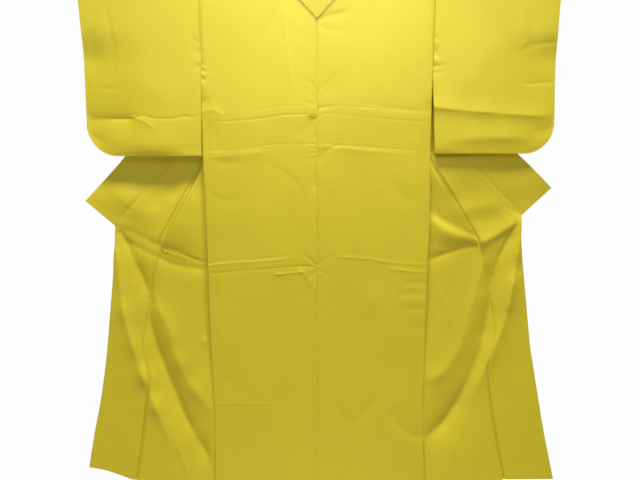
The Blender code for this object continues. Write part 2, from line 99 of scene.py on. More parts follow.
ROW_STEP = 0.62
COVERED_STEP = 1.1  # between rows of the front where the back hides it
UNDER = 0.17  # how far behind its face the cloth that is turned in at a seam lies
TURNED_COLUMNS = 4  # of a panel's mesh, from its seam, that the turned cloth follows

rod_low, rod_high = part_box("rod")
ROD_RADIUS = (rod_high.z - rod_low.z) / 2
ROD_Z = (rod_high.z + rod_low.z) / 2
CLOTH_ON_ROD = ROD_RADIUS / CM + 0.2  # outside of the cloth, from the middle of the rod
SHOULDER_Z = ROD_Z + CLOTH_ON_ROD * CM


class Table:
    """Columns over the first one, read between the rows along smooth curves that don't overshoot."""

    def __init__(self, names, *rows):
        self.names = names.split()
        self.rows = np.array(rows, dtype=float)

    def read(self, name, drop):
        at = self.rows[:, 0]
        value = self.rows[:, self.names.index(name)]
        step = np.diff(at)
        slope = np.diff(value) / step
        bend = np.zeros_like(value)
        flat = slope[1:] * slope[:-1] <= 0
        mean = 2 * slope[1:] * slope[:-1] / np.where(flat, 1.0, slope[1:] + slope[:-1])
        bend[1:-1] = np.where(flat, 0.0, mean)
        bend[0], bend[-1] = slope[0], slope[-1]
        drop = np.clip(drop, at[0], at[-1])
        i = np.clip(np.searchsorted(at, drop) - 1, 0, len(at) - 2)
        t = (drop - at[i]) / step[i]
        ease = t * t * (3 - 2 * t)
        start = t * (1 - t) ** 2 * bend[i] * step[i]
        end = t * t * (t - 1) * bend[i + 1] * step[i]
        return value[i] * (1 - ease) + value[i + 1] * ease + start + end

    def at(self, drop, *names):
        """Columns at one drop, in cm. Those whose names end in y are in mm in the table."""
        return [float(self.read(name, drop)) / (10 if name.endswith("_y") else 1) for name in names]


# Where the folded body lies, for each side. Widths from the centre and drops are in cm, depths in mm,
# positive away from the back: the side seam, the fold that the back panel hides (groove), the outer
# edge of the pleat (lip), its hidden inner fold (tuck), the overlap panel's seam, and its outer edge
# below the collar. HEM says how low the hem is at each width.
LAYOUT = {
    "left": Table(
        "drop side seam_y groove groove_y lip lip_y tuck tuck_y panel panel_y edge edge_y",
        (0, 32.3, 0, 26, 9, 20, 9, 9.2, 10, 8.7, 10, 10, 20),
        (1.45, 32.3, 0, 26, 9, 20, 9, 9.2, 13, 9.0, 14, 11, 20),
        (3, 32.2, 0, 26, 9, 20, 9, 9.2, 16.5, 9.7, 19, 12, 20),
        (6, 32.2, 0, 26, 9, 20, 9, 9.6, 16.5, 10.8, 19, 14, 20),
        (12, 32.0, 0, 27, 9, 21, 9, 10.7, 15, 12.9, 18, 16, 19),
        (24, 31.7, -8, 28, 9, 24, 9, 12.7, 13.5, 17.0, 16.5, 18, 18),
        (36, 31.8, -6, 29, 6, 27, 8, 15.9, 12.5, 24.1, 16, 28, 18),
        (46, 31.8, -6, 29.5, 4, 30.2, 6, 18.6, 12, 30.0, 16, 38, 18),
        (52, 31.6, -7, 29.8, 3, 32.4, 4.5, 21.2, 12, 33.6, 16, 44, 18),
        (60, 31.3, -7, 29.8, 3, 36.6, 5, 30.0, 12, 38.2, 15.5, 50, 18),
        (68, 31.1, -7, 29.5, 3, 41.0, 6, 36.6, 12, 42.6, 15, 57.6, 19),
        (73, 31.0, -7, 29.0, 3, 43.9, 10, 42.3, 12.5, 45.1, 14, 57.8, 19),
        (76, 30.9, -7, 28.0, 3, 45.0, 13, 44.9, 13, 45.3, 13, 58.1, 18),
        (82, 30.8, -7, 28.2, 3, 46.2, 12.5, 46.2, 12.5, 46.8, 12.5, 58.5, 17),
        (90, 30.7, -7, 28.4, 4, 47.8, 12, 47.8, 12, 48.4, 12, 59.3, 16),
        (99, 30.5, -7, 28.7, 3, 49.2, 11.5, 49.2, 11.5, 49.8, 11.5, 60.2, 15),
        (105, 30.3, -7, 28.9, 3, 50.1, 11, 50.1, 11, 50.7, 11, 60.8, 14),
        (114, 29.9, -7, 28.9, 1, 48.4, 10, 48.4, 10, 49.0, 10, 61.9, 13),
        (124, 29.7, -7, 29.3, -2, 49.8, 9, 49.8, 9, 50.4, 9, 63.4, 12),
        (135, 29.8, -7, 30.2, -3, 51.3, 7.5, 51.3, 7.5, 51.9, 7.5, 65.5, 11),
        (146, 29.9, -7, 31.2, -4, 53.0, 6, 53.0, 6, 53.6, 6, 67.4, 10),
    ),
    "right": Table(
        "drop side seam_y groove groove_y lip lip_y tuck tuck_y panel panel_y edge edge_y",
        (0, 32.2, 0, 26, 9, 20, 9, 9.2, 10, 8.7, 10, 10, 20),
        (1.45, 32.2, 0, 26, 9, 20, 9, 9.2, 13, 9.0, 14, 11, 20),
        (3, 32.2, 0, 26, 9, 20, 9, 9.2, 16.5, 9.7, 19, 12, 20),
        (6, 32.1, 0, 26, 9, 20, 9, 9.6, 16.5, 10.8, 19, 14, 20),
        (12, 32.0, 0, 27, 9, 21, 9, 10.7, 15, 12.9, 18, 16, 19),
        (24, 31.8, -8, 28, 9, 24, 9, 12.7, 13.5, 17.0, 16.5, 18, 18),
        (36, 31.6, -6, 29, 6, 27, 8, 15.9, 12.5, 24.3, 16, 28, 18),
        (46, 31.5, -6, 29.5, 4, 30.0, 6, 18.6, 12, 30.2, 16, 38, 18),
        (52, 31.5, -7, 29.6, 3, 32.6, 4.5, 21.4, 12, 33.7, 16, 44, 18),
        (60, 31.6, -7, 29.8, 3, 37.6, 5, 31.2, 12, 38.8, 15.5, 50, 18),
        (65.2, 31.6, -7, 29.6, 3, 40.9, 6, 35.8, 12, 42.0, 15, 58.2, 19),
        (71, 31.5, -7, 29.2, 3, 44.3, 9, 42.6, 12, 45.4, 14, 58.1, 19),
        (74, 31.4, -7, 28.8, 3, 46.3, 13, 46.2, 13, 46.7, 13, 58.3, 18),
        (81, 31.2, -7, 28.9, 3, 47.7, 12.5, 47.7, 12.5, 48.3, 12.5, 59.1, 17),
        (88, 31.1, -7, 29.2, 3, 49.1, 12, 49.1, 12, 49.7, 12, 59.9, 16),
        (99, 30.9, -7, 29.8, 2, 50.7, 11, 50.7, 11, 51.3, 11, 61.2, 14),
        (105, 30.85, -7, 29.7, 1, 50.2, 10.5, 50.2, 10.5, 50.8, 10.5, 61.9, 13.5),
        (110.5, 30.8, -7, 29.6, 0, 49.1, 10, 49.1, 10, 49.7, 10, 62.9, 13),
        (118, 30.6, -7, 29.8, -2, 49.8, 9, 49.8, 9, 50.4, 9, 64.2, 12),
        (132, 31.0, -7, 31.3, -3, 52.0, 7.5, 52.0, 7.5, 52.6, 7.5, 66.8, 11),
        (146, 31.4, -7, 32.8, -4, 54.8, 6, 54.8, 6, 55.4, 6, 69.9, 10),
    ),
}
HEM = {
    "left": Table(
        "x hem", (0, 146), (30, 146), (42, 145.3), (53, 143.8), (59, 141.8), (62, 140.8), (69, 139.5)
    ),
    "right": Table("x hem", (0, 146), (31, 145.7), (43, 144.8), (53, 144.0), (56, 143.4), (71, 143.4)),
}

# Creases of the back. The level ones are where the kimono was folded for storage: a sharp line under a
# broad swelling. The short ones are puckers at the centre seam and slack at the sides. Each row says
# how far in cm a crease reaches on the side that the light comes from and on the other, how round it
# is, its height in mm, and the places that it runs through, in cm from the centre and cm of drop.
BACK_CREASES = {
    "left": (
        (0.16, 0.2, 0.1, -0.75, (33.5, 38.8), (25.8, 38.9), (21.4, 38.7), (17, 38.3), (12.6, 37.7),
         (8.2, 37.1), (3.8, 37), (-1, 37)),
        (0.16, 0.2, 0.1, -0.5, (20, 36.3), (16.5, 35.8), (12.6, 35.2), (8.2, 34.7), (3.8, 34.6),
         (-1, 34.4)),
        (4, 7, 0.45, 1.8, (36, 38.2), (17, 37.6), (8.2, 36.4), (-3, 36.4)),
        (0.16, 0.2, 0.1, -0.6, (33.5, 47.1), (25.9, 46.8), (19.3, 46.4), (14.9, 45.6), (10.4, 45.2),
         (6, 45.1), (-1, 45.1)),
        (0.2, 0.2, 0.1, 0.5, (33, 48.4), (28.2, 47.6), (20.5, 47.1)),
        (0.9, 1.2, 0.3, 1.2, (32, 49.2), (24, 48.2), (14, 47.4)),
        (0.5, 0.2, 0.1, -0.9, (33.5, 79.4), (26.9, 78.2), (15, 77.4), (5.4, 76.4)),
        (0.3, 0.2, 0.1, 1.2, (33.5, 79.9), (26.9, 78.8), (15, 78), (5.4, 76.9)),
        (0.2, 0.35, 0.1, -1.3, (33.5, 82), (22.9, 80.7), (13.9, 80.1), (4.5, 79.3), (-1, 79.9)),
        (0.25, 0.25, 0.1, 1.6, (12.4, 81.9), (8, 81.4), (2.4, 81)),
        (0.3, 0.4, 0.15, -1.1, (-0.6, 79.8), (2.6, 77), (5, 75)),
        (0.3, 0.4, 0.15, -1, (-0.6, 79.9), (1.8, 82.2), (3.8, 84)),
        (3, 5, 0.45, 1.2, (35, 79.5), (17, 78.5), (-2, 78)),
        (0.6, 0.8, 0.5, -0.8, (28.5, 113.4), (24.2, 111.6)),
        (0.3, 0.25, 0.1, 0.7, (30, 120.2), (24, 119.6), (12.4, 119.9), (1.4, 120.3)),
        (0.5, 0.6, 0.3, -0.75, (14.7, 50.2), (8.4, 53.6), (4.5, 57.7), (0.3, 69.1)),
        (0.7, 0.9, 0.3, -1.2, (31, 49.4), (25, 50.2), (20.5, 49.6)),
        (0.9, 0.9, 0.4, -1.1, (30, 59.4), (26, 60.8), (21.5, 60)),
        (0.35, 0.4, 0.15, -2.2, (32.6, 22.6), (31.2, 23.4), (29.8, 23.9)),
        (0.35, 0.4, 0.15, -2.2, (32.6, 24.6), (31.2, 25.2), (30, 25.4)),
        (0.35, 0.4, 0.15, -2, (32.6, 27), (31.2, 27.4), (30.2, 27.4)),
        (0.45, 0.5, 0.15, -2.4, (32.6, 32.6), (31.2, 33.3), (29, 33.2)),
        (0.8, 0.7, 0.3, 1.6, (33, 36.6), (28.8, 35.8), (25.6, 37.6)),
        (0.3, 0.3, 0.15, -1.3, (8.4, 5.4), (12.4, 11.9), (17.6, 19.6)),
        (0.4, 0.5, 0.2, 0.9, (9, 7), (8.3, 17), (7.5, 24.7), (6.2, 31)),
        (0.4, 0.5, 0.15, -1.5, (-0.6, 31.6), (1.6, 28.5), (3.8, 27.4)),
        (0.4, 0.5, 0.15, -1.3, (-0.6, 34.2), (0.9, 32), (2.6, 28.8)),
        (0.3, 0.4, 0.15, -0.9, (-0.6, 34.8), (2, 33.9), (5.4, 33.4)),
        (0.5, 0.6, 0.3, -1.1, (-0.6, 36.8), (2.5, 40.6), (5.8, 42.6)),
        (1.2, 1.6, 0.5, -1.8, (29.3, 37.6), (28, 43.7), (27.2, 50.9)),
        (1, 0.8, 0.4, -3.2, (1.4, 36.8), (1.2, 44), (1, 61)),
        (0.6, 0.7, 0.3, 1.2, (6, 79.8), (2.4, 83), (-0.4, 88.5)),
    ),
    "right": (
        (0.16, 0.2, 0.1, -0.6, (-1, 34.9), (4.9, 34.7), (11.8, 35), (16.3, 35.3), (23.7, 36), (33, 36.8)),
        (0.16, 0.2, 0.1, -0.75, (-1, 36.8), (4.9, 36.9), (11.8, 37.6), (18.7, 38.2), (25.5, 38.8),
         (33.5, 39.1)),
        (0.8, 0.5, 0.2, -0.8, (12, 34.2), (16.3, 34.6), (23, 35.6), (33, 36.2)),
        (4, 7, 0.45, 1.8, (-3, 35.6), (11.8, 36.2), (23.7, 37.2), (36, 38)),
        (0.16, 0.2, 0.1, -0.7, (-1, 44.4), (5, 45.3), (11.8, 45.8), (18.7, 46.2), (25.7, 46.8),
         (33.5, 47.3)),
        (0.5, 0.8, 0.3, 1, (0.2, 45.7), (5, 46.2), (11.9, 46.8), (18.8, 47.5), (27, 48.1)),
        (0.3, 0.25, 0.1, 1.4, (4.1, 76.8), (13.8, 77.2), (21.8, 78.5), (33.5, 79.2)),
        (0.4, 0.3, 0.1, 1.2, (20, 80.2), (25.5, 80.8), (33, 81.5)),
        (0.3, 0.4, 0.15, -1.1, (-0.6, 79.7), (3, 77), (6, 75.6)),
        (0.3, 0.4, 0.15, -0.9, (-0.6, 79.9), (2, 81.2), (4.2, 81.9)),
        (2.2, 0.8, 0.2, -2.8, (36, 130.6), (29.8, 130), (26.4, 128.6), (23, 125.5), (20.5, 120)),
        (1.2, 1.6, 0.6, -1.2, (17, 54.5), (24.3, 59.2), (29.4, 63.4)),
        (0.4, 0.5, 0.2, -1.1, (2.9, 117.8), (9, 124.5), (10.6, 124.7), (14, 121.8), (19, 115.5)),
        (0.5, 0.6, 0.3, -0.9, (5.1, 101.1), (5.4, 109), (6.4, 113.8), (10.4, 118.4)),
        (1.8, 1.8, 0.8, 1.2, (12.7, 38.3), (18.5, 67.1)),
        (1.8, 1.8, 0.8, 1.2, (13.9, 84.7), (20, 96.3)),
        (0.3, 0.6, 0.15, -1.8, (-0.4, 11.4), (3.1, 10.6), (5.3, 10.2), (9.4, 9)),
        (0.4, 0.5, 0.2, -1, (0.2, 12.8), (3.1, 14.1), (8.6, 14.8)),
        (0.4, 0.5, 0.15, -1.2, (-0.6, 31.8), (1.7, 29.4), (7, 25.2)),
        (0.4, 0.5, 0.15, -1.1, (-0.6, 33.6), (2.2, 31.2), (7.8, 26.6)),
        (0.5, 0.5, 0.2, -1.3, (-0.6, 35.9), (2.2, 35.2), (6, 35.3)),
        (0.6, 0.6, 0.3, -1.3, (-0.4, 50), (3, 46.8), (7, 45)),
        (0.3, 0.6, 0.2, -1.3, (33, 84.5), (29, 84), (24, 84.2)),
        (0.3, 0.6, 0.2, -1.3, (33, 87.8), (28, 87), (22, 87.6)),
        (0.3, 0.6, 0.2, -1.1, (33, 92.6), (29, 91.6), (25, 91.6)),
        (0.5, 0.8, 0.2, -1.4, (33, 98.6), (30, 97.2), (26, 97)),
    ),
}
FINE_ROWS = ((15, 33.6, 0.42), (33.6, 40, 0.15), (44, 48.8, 0.15), (75.6, 82.4, 0.15), (118.6, 121, 0.2))
# cm of drop, and the cm between the mesh's rows there

# Folds of the front, from the collar's end down into the skirt, in rows as for the back. They fan out
# from the collar's end and from the point where the pleat ends in the seam. The light is above the
# middle of the kimono, so that a trough (less than 0) is dark before it and bright beyond, and a ridge
# the other way round.
FRONT_FOLDS = {
    "left": (
        (0.65, 1.3, 0.15, -2.7, (58.5, 67.6), (57, 68.4), (52, 70.2), (45.9, 73.3), (40.4, 75.3),
         (35.5, 77.4), (31.6, 78.4), (27, 79)),
        (0.8, 1.1, 0.15, -3.6, (56.5, 71.6), (53.3, 73.3), (46.6, 76.6), (40.5, 79.3), (35.5, 80.2),
         (31.4, 80.8), (27, 81)),
        (2.2, 3.4, 0.15, -12, (45.6, 77.5), (47.4, 86), (48.2, 95.4), (46.9, 101.8), (44.6, 108.9),
         (41.9, 116), (38.3, 125.2), (31.5, 136.5), (26, 143), (17, 150)),
        (2.2, 2.2, 0.4, 6, (45.8, 79), (46.6, 88.4), (43.4, 97.3), (41.1, 105), (37.5, 113.4),
         (31.3, 121), (26, 124)),
        (2, 2.4, 0.2, 10, (57.8, 68), (57.3, 76.3), (56.5, 87.1), (55, 96.7), (52.4, 106.3),
         (49.6, 114.7), (46.6, 122.5), (43.4, 131), (41, 138)),
        (1.6, 1.9, 0.15, -7.2, (57.2, 69), (55, 72), (52.2, 78.3), (49.3, 85.9), (47.8, 95)),
        (0.4, 0.35, 0.2, 1.4, (45.1, 120), (42.6, 128.9), (39.4, 137.9), (36.5, 145.2)),
        (0.8, 0.8, 0.3, 2.2, (31, 101.2), (32.5, 101.8), (33.6, 102.6)),
        (2.2, 2.6, 0.9, -4, (37.5, 55), (41, 57.5), (46, 61.5), (50.5, 65.5)),
        (2.2, 2.2, 0.9, 3, (56, 65.6), (50, 64), (43, 65.8)),
    ),
    "right": (
        (2.4, 3.6, 0.15, -13, (46.3, 74), (48.6, 80.5), (49.9, 87.1), (49.4, 93.5), (47.6, 103.1),
         (45, 111.5), (41.4, 119.3), (36.5, 126.6), (31.1, 130.4), (23, 132.5), (12, 133)),
        (2.2, 2.2, 0.4, 6.5, (46.6, 75.5), (47.4, 80), (45.6, 87.1), (43.4, 96.7), (40.4, 105),
         (36.1, 110.8), (31.8, 112.5), (27, 113)),
        (1.7, 2.4, 0.15, 13, (58.2, 65), (57.9, 68), (57.4, 73.3), (55.9, 84.6), (53.8, 96),
         (51.6, 102.4), (49, 109), (46.4, 116), (44.4, 122)),
        (0.5, 0.6, 0.2, 2.6, (58, 65.6), (55.6, 68.6), (53, 73.2), (51.6, 77.6)),
        (0.9, 1.6, 0.15, -5.6, (58.1, 65.3), (56.6, 67.4), (53.6, 73.3), (51, 80.8), (49.6, 92)),
        (2.4, 1.2, 0.2, 6.6, (58.3, 65.2), (57.2, 66.6), (52.6, 69.9), (47.4, 72.7), (44.2, 73.8)),
        (2.4, 1.2, 0.2, -5.4, (46.6, 72.9), (44.3, 70.8), (40.2, 68.7), (35.9, 66.6), (32.4, 64),
         (28, 61)),
        (1.2, 2.6, 0.4, 4.5, (46.6, 73.3), (44, 72.2), (37.2, 69.9), (32.5, 66.8), (28, 64.5)),
        (1.8, 1.1, 0.15, -4.5, (47.2, 72.8), (45.4, 73.3), (39.1, 75.3), (32.9, 77.6), (28, 79)),
        (0.4, 0.35, 0.2, 1.4, (45, 121.9), (41, 132.2), (36.5, 144.6)),
        (0.7, 0.7, 0.4, 1.4, (33.7, 83.3), (37.3, 91.6), (39.4, 101.8)),
        (2.2, 2.4, 0.9, 5, (38, 64.4), (43, 63.8), (50, 62.2), (56, 62.8)),
        (2.2, 2.4, 0.9, -4, (40, 66.4), (47, 66), (54, 64)),
        (0.9, 0.9, 0.3, 3, (58.6, 58), (62, 57.6), (65.5, 56.8)),
    ),
}
LIGHT_FALLS = (0.5, 0.87)  # the way the light falls over the cloth, outwards and down
FRONT_FAN = (0.3, 0.4, 0.7)  # as creased says
CREASE_STEPS = 12  # of its line, from each place to the next
SHORT_CREASE = 8  # cm
ROUND_CREASE = 0.5  # how round the broad soft ones are
CREASE_STARTS = 0.12  # share of its length over which it comes to its height
SHORT_FADES = 0.4  # share of its length from which a short one fades
ROUND_ENDS = (0.35, 0.6)  # both shares for a round one
CREASE_CUT = (2.5, 4)  # times its reach, over which the last of it goes
CREASE_UNEVENNESS = 0.3  # of its height
CREASE_PATCH = 5  # cm along it, over which its height varies
BELOW_SLEEVE = {"left": -10, "right": 9}  # mm, how far the front stands out just below the sleeve
BELOW_SLEEVE_DROPS = (46.5, 51, 51, 62)  # four drops: from none of it to all, and back to none
PANEL_SEAM_RISE = 2.5  # mm, of the overlap panel's seam beside the pleat
PANEL_SEAM_DROPS = (50, 56, 68, 76)
PANEL_SEAM_REACH = (1.1, 3.0)  # cm, how far it rises on the front and on the overlap panel
PANEL_SEAM_DRAWN = (106, 122)  # over which that seam comes to be drawn in deeper
BEHIND_BACK = 7  # mm, how far the front lies back beside the back panel
BEHIND_BACK_REACH = 2.8  # cm
BEHIND_BACK_DROPS = (50, 60, 95, 115)
FOLDS_BEGIN = ((1.5, 3.5), (46, 62))  # spans of the front's row, and cm of drop
SEWN_TO_BACK = ((0.6, 2.5), (34, 38))  # in the same way, where the front follows the back's edge
DRAWN_IN = {"left": (3.4, 1.4), "right": (0.8, 4.2)}  # more puckers at the armhole, on body and sleeve
DRAWN_IN_DROPS = (16, 22, 32, 38)
FREE_DROPS = (1, 6)  # between which the cloth leaves the rod and begins to hang unevenly
CENTRE_SEAM_DIP = 1.0  # mm, for each dip
SIDE_SEAM_DIP = 0.8
ARMHOLE_DIP = (1.4, 0.6)  # and its reach in cm, where the sleeve's seam draws the back's edge in
ARMHOLE_EDGE_DROPS = (4, 10, 20, 28)
PANEL_SEAM_DIP = (1.8, 4.0)  # the overlap panel's seam, and how much deeper it comes to be drawn in
COLLAR_POINT = 11.3  # cm, how low the collar reaches at the centre back
COLLAR_RISES = 0.94  # cm for each cm from the centre
LATTICE = 61
PUCKER_HEIGHT = 0.55  # mm
PUCKER_REACH = 1.4  # cm from the seam
PUCKER_SIZE = 1.1  # cm along the seam
PUCKER_WIDTH = 3  # cm across it
PUCKER_PATCH = 9  # cm along the seam, over which they come and go
PUCKER_LEAST = 0.35  # share of their height where they are weakest
SLACK = ((1.5, 9, 7, 26, 0), (0.7, 5, 0, 11, 3), (0.16, 1.9, 0, 2.3, 0))
# broad, middling and small: height in mm, then width in cm and a shift, length in cm and a shift
FRONT_SLACK = 0.6  # of the back's
BODY_SEED = {"left": 0, "right": 40}


def ramp(value, start, end):
    """Smoothly from 0 at the start to 1 at the end."""
    t = np.clip((value - start) / (end - start), 0, 1)
    return t * t * (3 - 2 * t)


def between(value, start, full, fading, end):
    """From 0 at the start to 1 when full, and from fading on back to 0 at the end."""
    return ramp(value, start, full) * (1 - ramp(value, fading, end))


def bell(away, reach):
    """1 where nothing is away, and next to 0 from twice the reach."""
    return np.exp(-((away / reach) ** 2))


def hang(drop):
    """Distance of a layer's outer face from the middle plane."""
    drop = np.asarray(drop, dtype=float)
    around = np.sqrt(np.maximum(CLOTH_ON_ROD**2 - (CLOTH_ON_ROD - drop) ** 2, 0))
    below = HANG_HALF + (CLOTH_ON_ROD - HANG_HALF) * np.exp(-(drop - CLOTH_ON_ROD) / HANG_FALL)
    return np.where(drop < CLOTH_ON_ROD, around, below)


def through(points, steps):
    """A smooth curve through points, with so many steps from each to the next."""
    points = np.asarray(points, dtype=float)
    padded = np.vstack([2 * points[0] - points[1], points, 2 * points[-1] - points[-2]])
    t = (np.arange(steps) / steps)[:, None]
    runs = []
    for p0, p1, p2, p3 in zip(padded, padded[1:], padded[2:], padded[3:]):
        a = 2 * p1
        b = (p2 - p0) * t
        c = (2 * p0 - 5 * p1 + 4 * p2 - p3) * t * t
        d = (3 * p1 - p0 - 3 * p2 + p3) * t**3
        runs.append((a + b + c + d) / 2)
    return np.vstack([*runs, points[-1:]])


def along(line):
    """The length of a line up to each of its points."""
    return np.concatenate([[0], np.cumsum(np.linalg.norm(np.diff(line, axis=0), axis=1))])


def uneven(a, b, seed):
    """Smooth unevenness between -1 and 1, with bumps of about one unit."""
    lattice = np.random.default_rng(seed).uniform(-1, 1, (LATTICE, LATTICE))
    a, b = np.asarray(a, dtype=float), np.asarray(b, dtype=float)
    i, j = np.floor(a).astype(int), np.floor(b).astype(int)
    u, v = ramp(a - i, 0, 1), ramp(b - j, 0, 1)
    corner = [[lattice[(i + m) % LATTICE, (j + n) % LATTICE] for n in (0, 1)] for m in (0, 1)]
    low = corner[0][0] * (1 - u) + corner[1][0] * u
    high = corner[0][1] * (1 - u) + corner[1][1] * u
    return low * (1 - v) + high * v


def creased(creases, x, drop, seed=0, fan=(1, 1, 0.84)):
    """How far the creases stand out towards the viewer, in mm, at places in cm.

    A fan of them starts at so large a share of their width, has all of it from the share of their
    length that comes next, and fades out from the last one. Round and short ones fade for longer.
    """
    total = np.zeros(x.shape)
    for number, (before, beyond, roundness, height, *places) in enumerate(creases):
        line = through(places, CREASE_STEPS)
        reach = CREASE_CUT[1] * max(before, beyond)
        low, high = line.min(axis=0) - reach, line.max(axis=0) + reach
        near = (x > low[0]) & (x < high[0]) & (drop > low[1]) & (drop < high[1])
        right, down = x[near][:, None] - line[:, 0], drop[near][:, None] - line[:, 1]
        away = right**2 + down**2
        nearest = away.argmin(axis=1)
        pick = np.arange(len(nearest)), nearest
        way = np.gradient(line, axis=0)
        over = np.stack([-way[:, 1], way[:, 0]], axis=1)
        over *= np.sign(over.sum(axis=0) @ np.array(LIGHT_FALLS))
        past = right[pick] * over[nearest, 0] + down[pick] * over[nearest, 1] > 0
        t = np.linspace(0, 1, len(line))
        width = fan[0] + (1 - fan[0]) * np.minimum(t / fan[1], 1)
        across = np.sqrt(away[pick]) / np.where(past, beyond, before) / width[nearest]
        length = along(line)
        starts, fades = CREASE_STARTS, SHORT_FADES if length[-1] < SHORT_CREASE else fan[2]
        if roundness >= ROUND_CREASE:
            starts, fades = ROUND_ENDS
        ends = between(t, 0.0, starts, fades, 1.0) * width
        varies = uneven(length / CREASE_PATCH, np.full(len(line), 3.0 * number), seed)
        ends *= 1 + CREASE_UNEVENNESS * varies
        fall = np.exp(roundness - np.sqrt(across**2 + roundness**2)) * (1 - ramp(across, *CREASE_CUT))
        total[near] += height * fall * ends[nearest]
    return total


def lowered(side, x, drop):
    """The drop of a place, brought to the hem's own line near the bottom."""
    return drop + (HEM[side].read("hem", x) - BACK_DROP) * ramp(drop, HEM_DRAWN_FROM, BACK_DROP)


def level_row(x, y, drop):
    return np.stack([x, y, np.full(len(x), float(drop))], axis=1)


def back_row(side, drop):
    """A row across the back, from the side to the centre seam or the neckline."""
    outer, seam_y = LAYOUT[side].at(drop, "side", "seam_y")
    inner = max(NECK_HALF * math.sqrt(max(1 - (drop / NECK_SCOOP) ** 2, 0)), SEAM_GAP / 2)
    share = np.linspace(0, 1, BODY_SPANS * SPAN_STEPS + 1)
    depth = -float(hang(drop))
    y = depth + ramp(drop, *SIDE_SEAM_STARTS) * (seam_y - depth) * (1 - ramp(share, *SIDE_SEAM_REACH))
    return level_row(outer + (inner - outer) * share, y, drop)


def turned_back(x, y, nose, roll):
    """Three places round the edge at which the cloth turns back."""
    return np.array([(x + nose, y - roll), (x, y), (x + nose, y + roll)])


def front_row(side, drop):
    """A row across the front, from the side through the pleat to the overlap panel's seam."""
    places = LAYOUT[side].at(drop, *LAYOUT[side].names[1:11])
    side_x, seam_y, groove_x, groove_y, lip_x, lip_y, tuck_x, tuck_y, end_x, end_y = places
    end_x -= SEAM_GAP / 2
    roll = PLEAT_ROUND
    if drop > PLEAT_CLOSES:
        roll *= min(max((lip_x - tuck_x) / PLEAT_FULL, 0), 1)
    nose = min(PLEAT_NOSE, 0.4 * abs(end_x - tuck_x))
    tuck = turned_back(tuck_x, tuck_y, nose, roll)
    lip = turned_back(lip_x, lip_y, -nose, roll)
    groove, end = np.array((groove_x, groove_y)), np.array((end_x, end_y))
    start = (side_x, seam_y + SIDE_SEAM_STEP)
    turn = (side_x - GROOVE_TURN[0] * (side_x - groove_x), groove_y * GROOVE_TURN[1])

    columns = BODY_SPANS + 1
    depth = float(hang(drop))
    plain = level_row(np.linspace(side_x, end_x, columns), np.full(columns, depth), 0)[:, :2]
    beside_tuck = [(x, depth) for x in np.linspace(side_x, tuck[0, 0], columns - 4)[:-1]]
    upper = np.vstack([beside_tuck, tuck, (tuck[2] + end) / 2, end])
    third = (lip[0] - groove) / 3
    pleat = [start, turn, groove, groove + third, groove + 2 * third, lip, (lip[2] + tuck[0]) / 2]
    pleat = np.vstack([*pleat, upper[-5:]])
    spread = np.linspace(0, 1, columns - 2)[:, None]
    skirt = groove + (end - groove) * np.hstack([spread, ramp(spread, *SKIRT_SWELL)])
    skirt = np.vstack([start, turn, skirt])
    row = plain
    for shape, drops in ((upper, LAPEL_TURNS), (pleat, PLEAT_STARTS), (skirt, PLEAT_OPENS[side])):
        row = row + (shape - row) * ramp(drop, *drops)
    return level_row(*through(row, SPAN_STEPS).T, drop)


def placed(side, grid):
    """Places in cm as points in metres."""
    sign = -1 if side == "left" else 1
    grid = np.asarray(grid) * CM
    return np.stack([sign * grid[..., 0], grid[..., 1], SHOULDER_Z - grid[..., 2]], axis=-1)


def sewn_edge(away, dip=1.3, reach=0.3):
    """How far the cloth dips at a seam, in mm, at distances from it in cm."""
    return -dip * bell(away, reach)


def puckers(away, down, seed):
    """Small puckers beside a hand-sewn seam, in mm, at distances from it and along it in cm."""
    patches = uneven(down / PUCKER_PATCH, np.full(np.shape(down), 0.5), seed)
    patches = PUCKER_LEAST + (1 - PUCKER_LEAST) * ramp(patches, -0.2, 0.8)
    bumps = uneven(down / PUCKER_SIZE, away / PUCKER_WIDTH, seed + 1)
    return PUCKER_HEIGHT * bell(away, PUCKER_REACH) * patches * bumps


def slack(x, drop, seed):
    """The unevenness of hanging cloth, in mm, at places in cm."""
    return sum(
        height * uneven(x / width + aside, drop / length + lower, seed + number)
        for number, (height, width, aside, length, lower) in enumerate(SLACK)
    )


def below_sleeve(side, drop):
    return BELOW_SLEEVE[side] * between(drop, *BELOW_SLEEVE_DROPS)


def front_relief(side, x, drop):
    """Folds and slack of the front and its overlap panel, in mm, at places in cm."""
    seed = BODY_SEED[side] + 20
    out = creased(FRONT_FOLDS[side], x, drop, seed, FRONT_FAN) + FRONT_SLACK * slack(x, drop, seed + 3)
    from_seam = x - LAYOUT[side].read("panel", drop)
    ridge = bell(from_seam, np.where(from_seam < 0, *PANEL_SEAM_REACH))
    return out + below_sleeve(side, drop) + PANEL_SEAM_RISE * between(drop, *PANEL_SEAM_DROPS) * ridge


def fill(tree, node, inputs):
    """Set a node's inputs, by name or number, each to a value or joined to another node's socket."""
    for name, value in inputs.items():
        if isinstance(value, bpy.types.NodeSocket):
            tree.links.new(value, node.inputs[name])
        else:
            node.inputs[name].default_value = value
    return node


def add(tree, kind, inputs, **settings):
    """A new node with its settings made and its inputs filled."""
    node = tree.nodes.new(kind)
    for name, value in settings.items():
        setattr(node, name, value)
    return fill(tree, node, inputs)


def new_group(name, kind, inputs, outputs):
    """An empty node group with sockets, each given as its name, type and perhaps default value."""
    group = bpy.data.node_groups.new(name, kind)
    for way, sockets in (("INPUT", inputs), ("OUTPUT", outputs)):
        for title, holds, *default in sockets:
            socket = group.interface.new_socket(title, in_out=way, socket_type=f"NodeSocket{holds}")
            if default:
                socket.default_value = default[0]
    return group, group.nodes.new("NodeGroupInput").outputs, group.nodes.new("NodeGroupOutput")


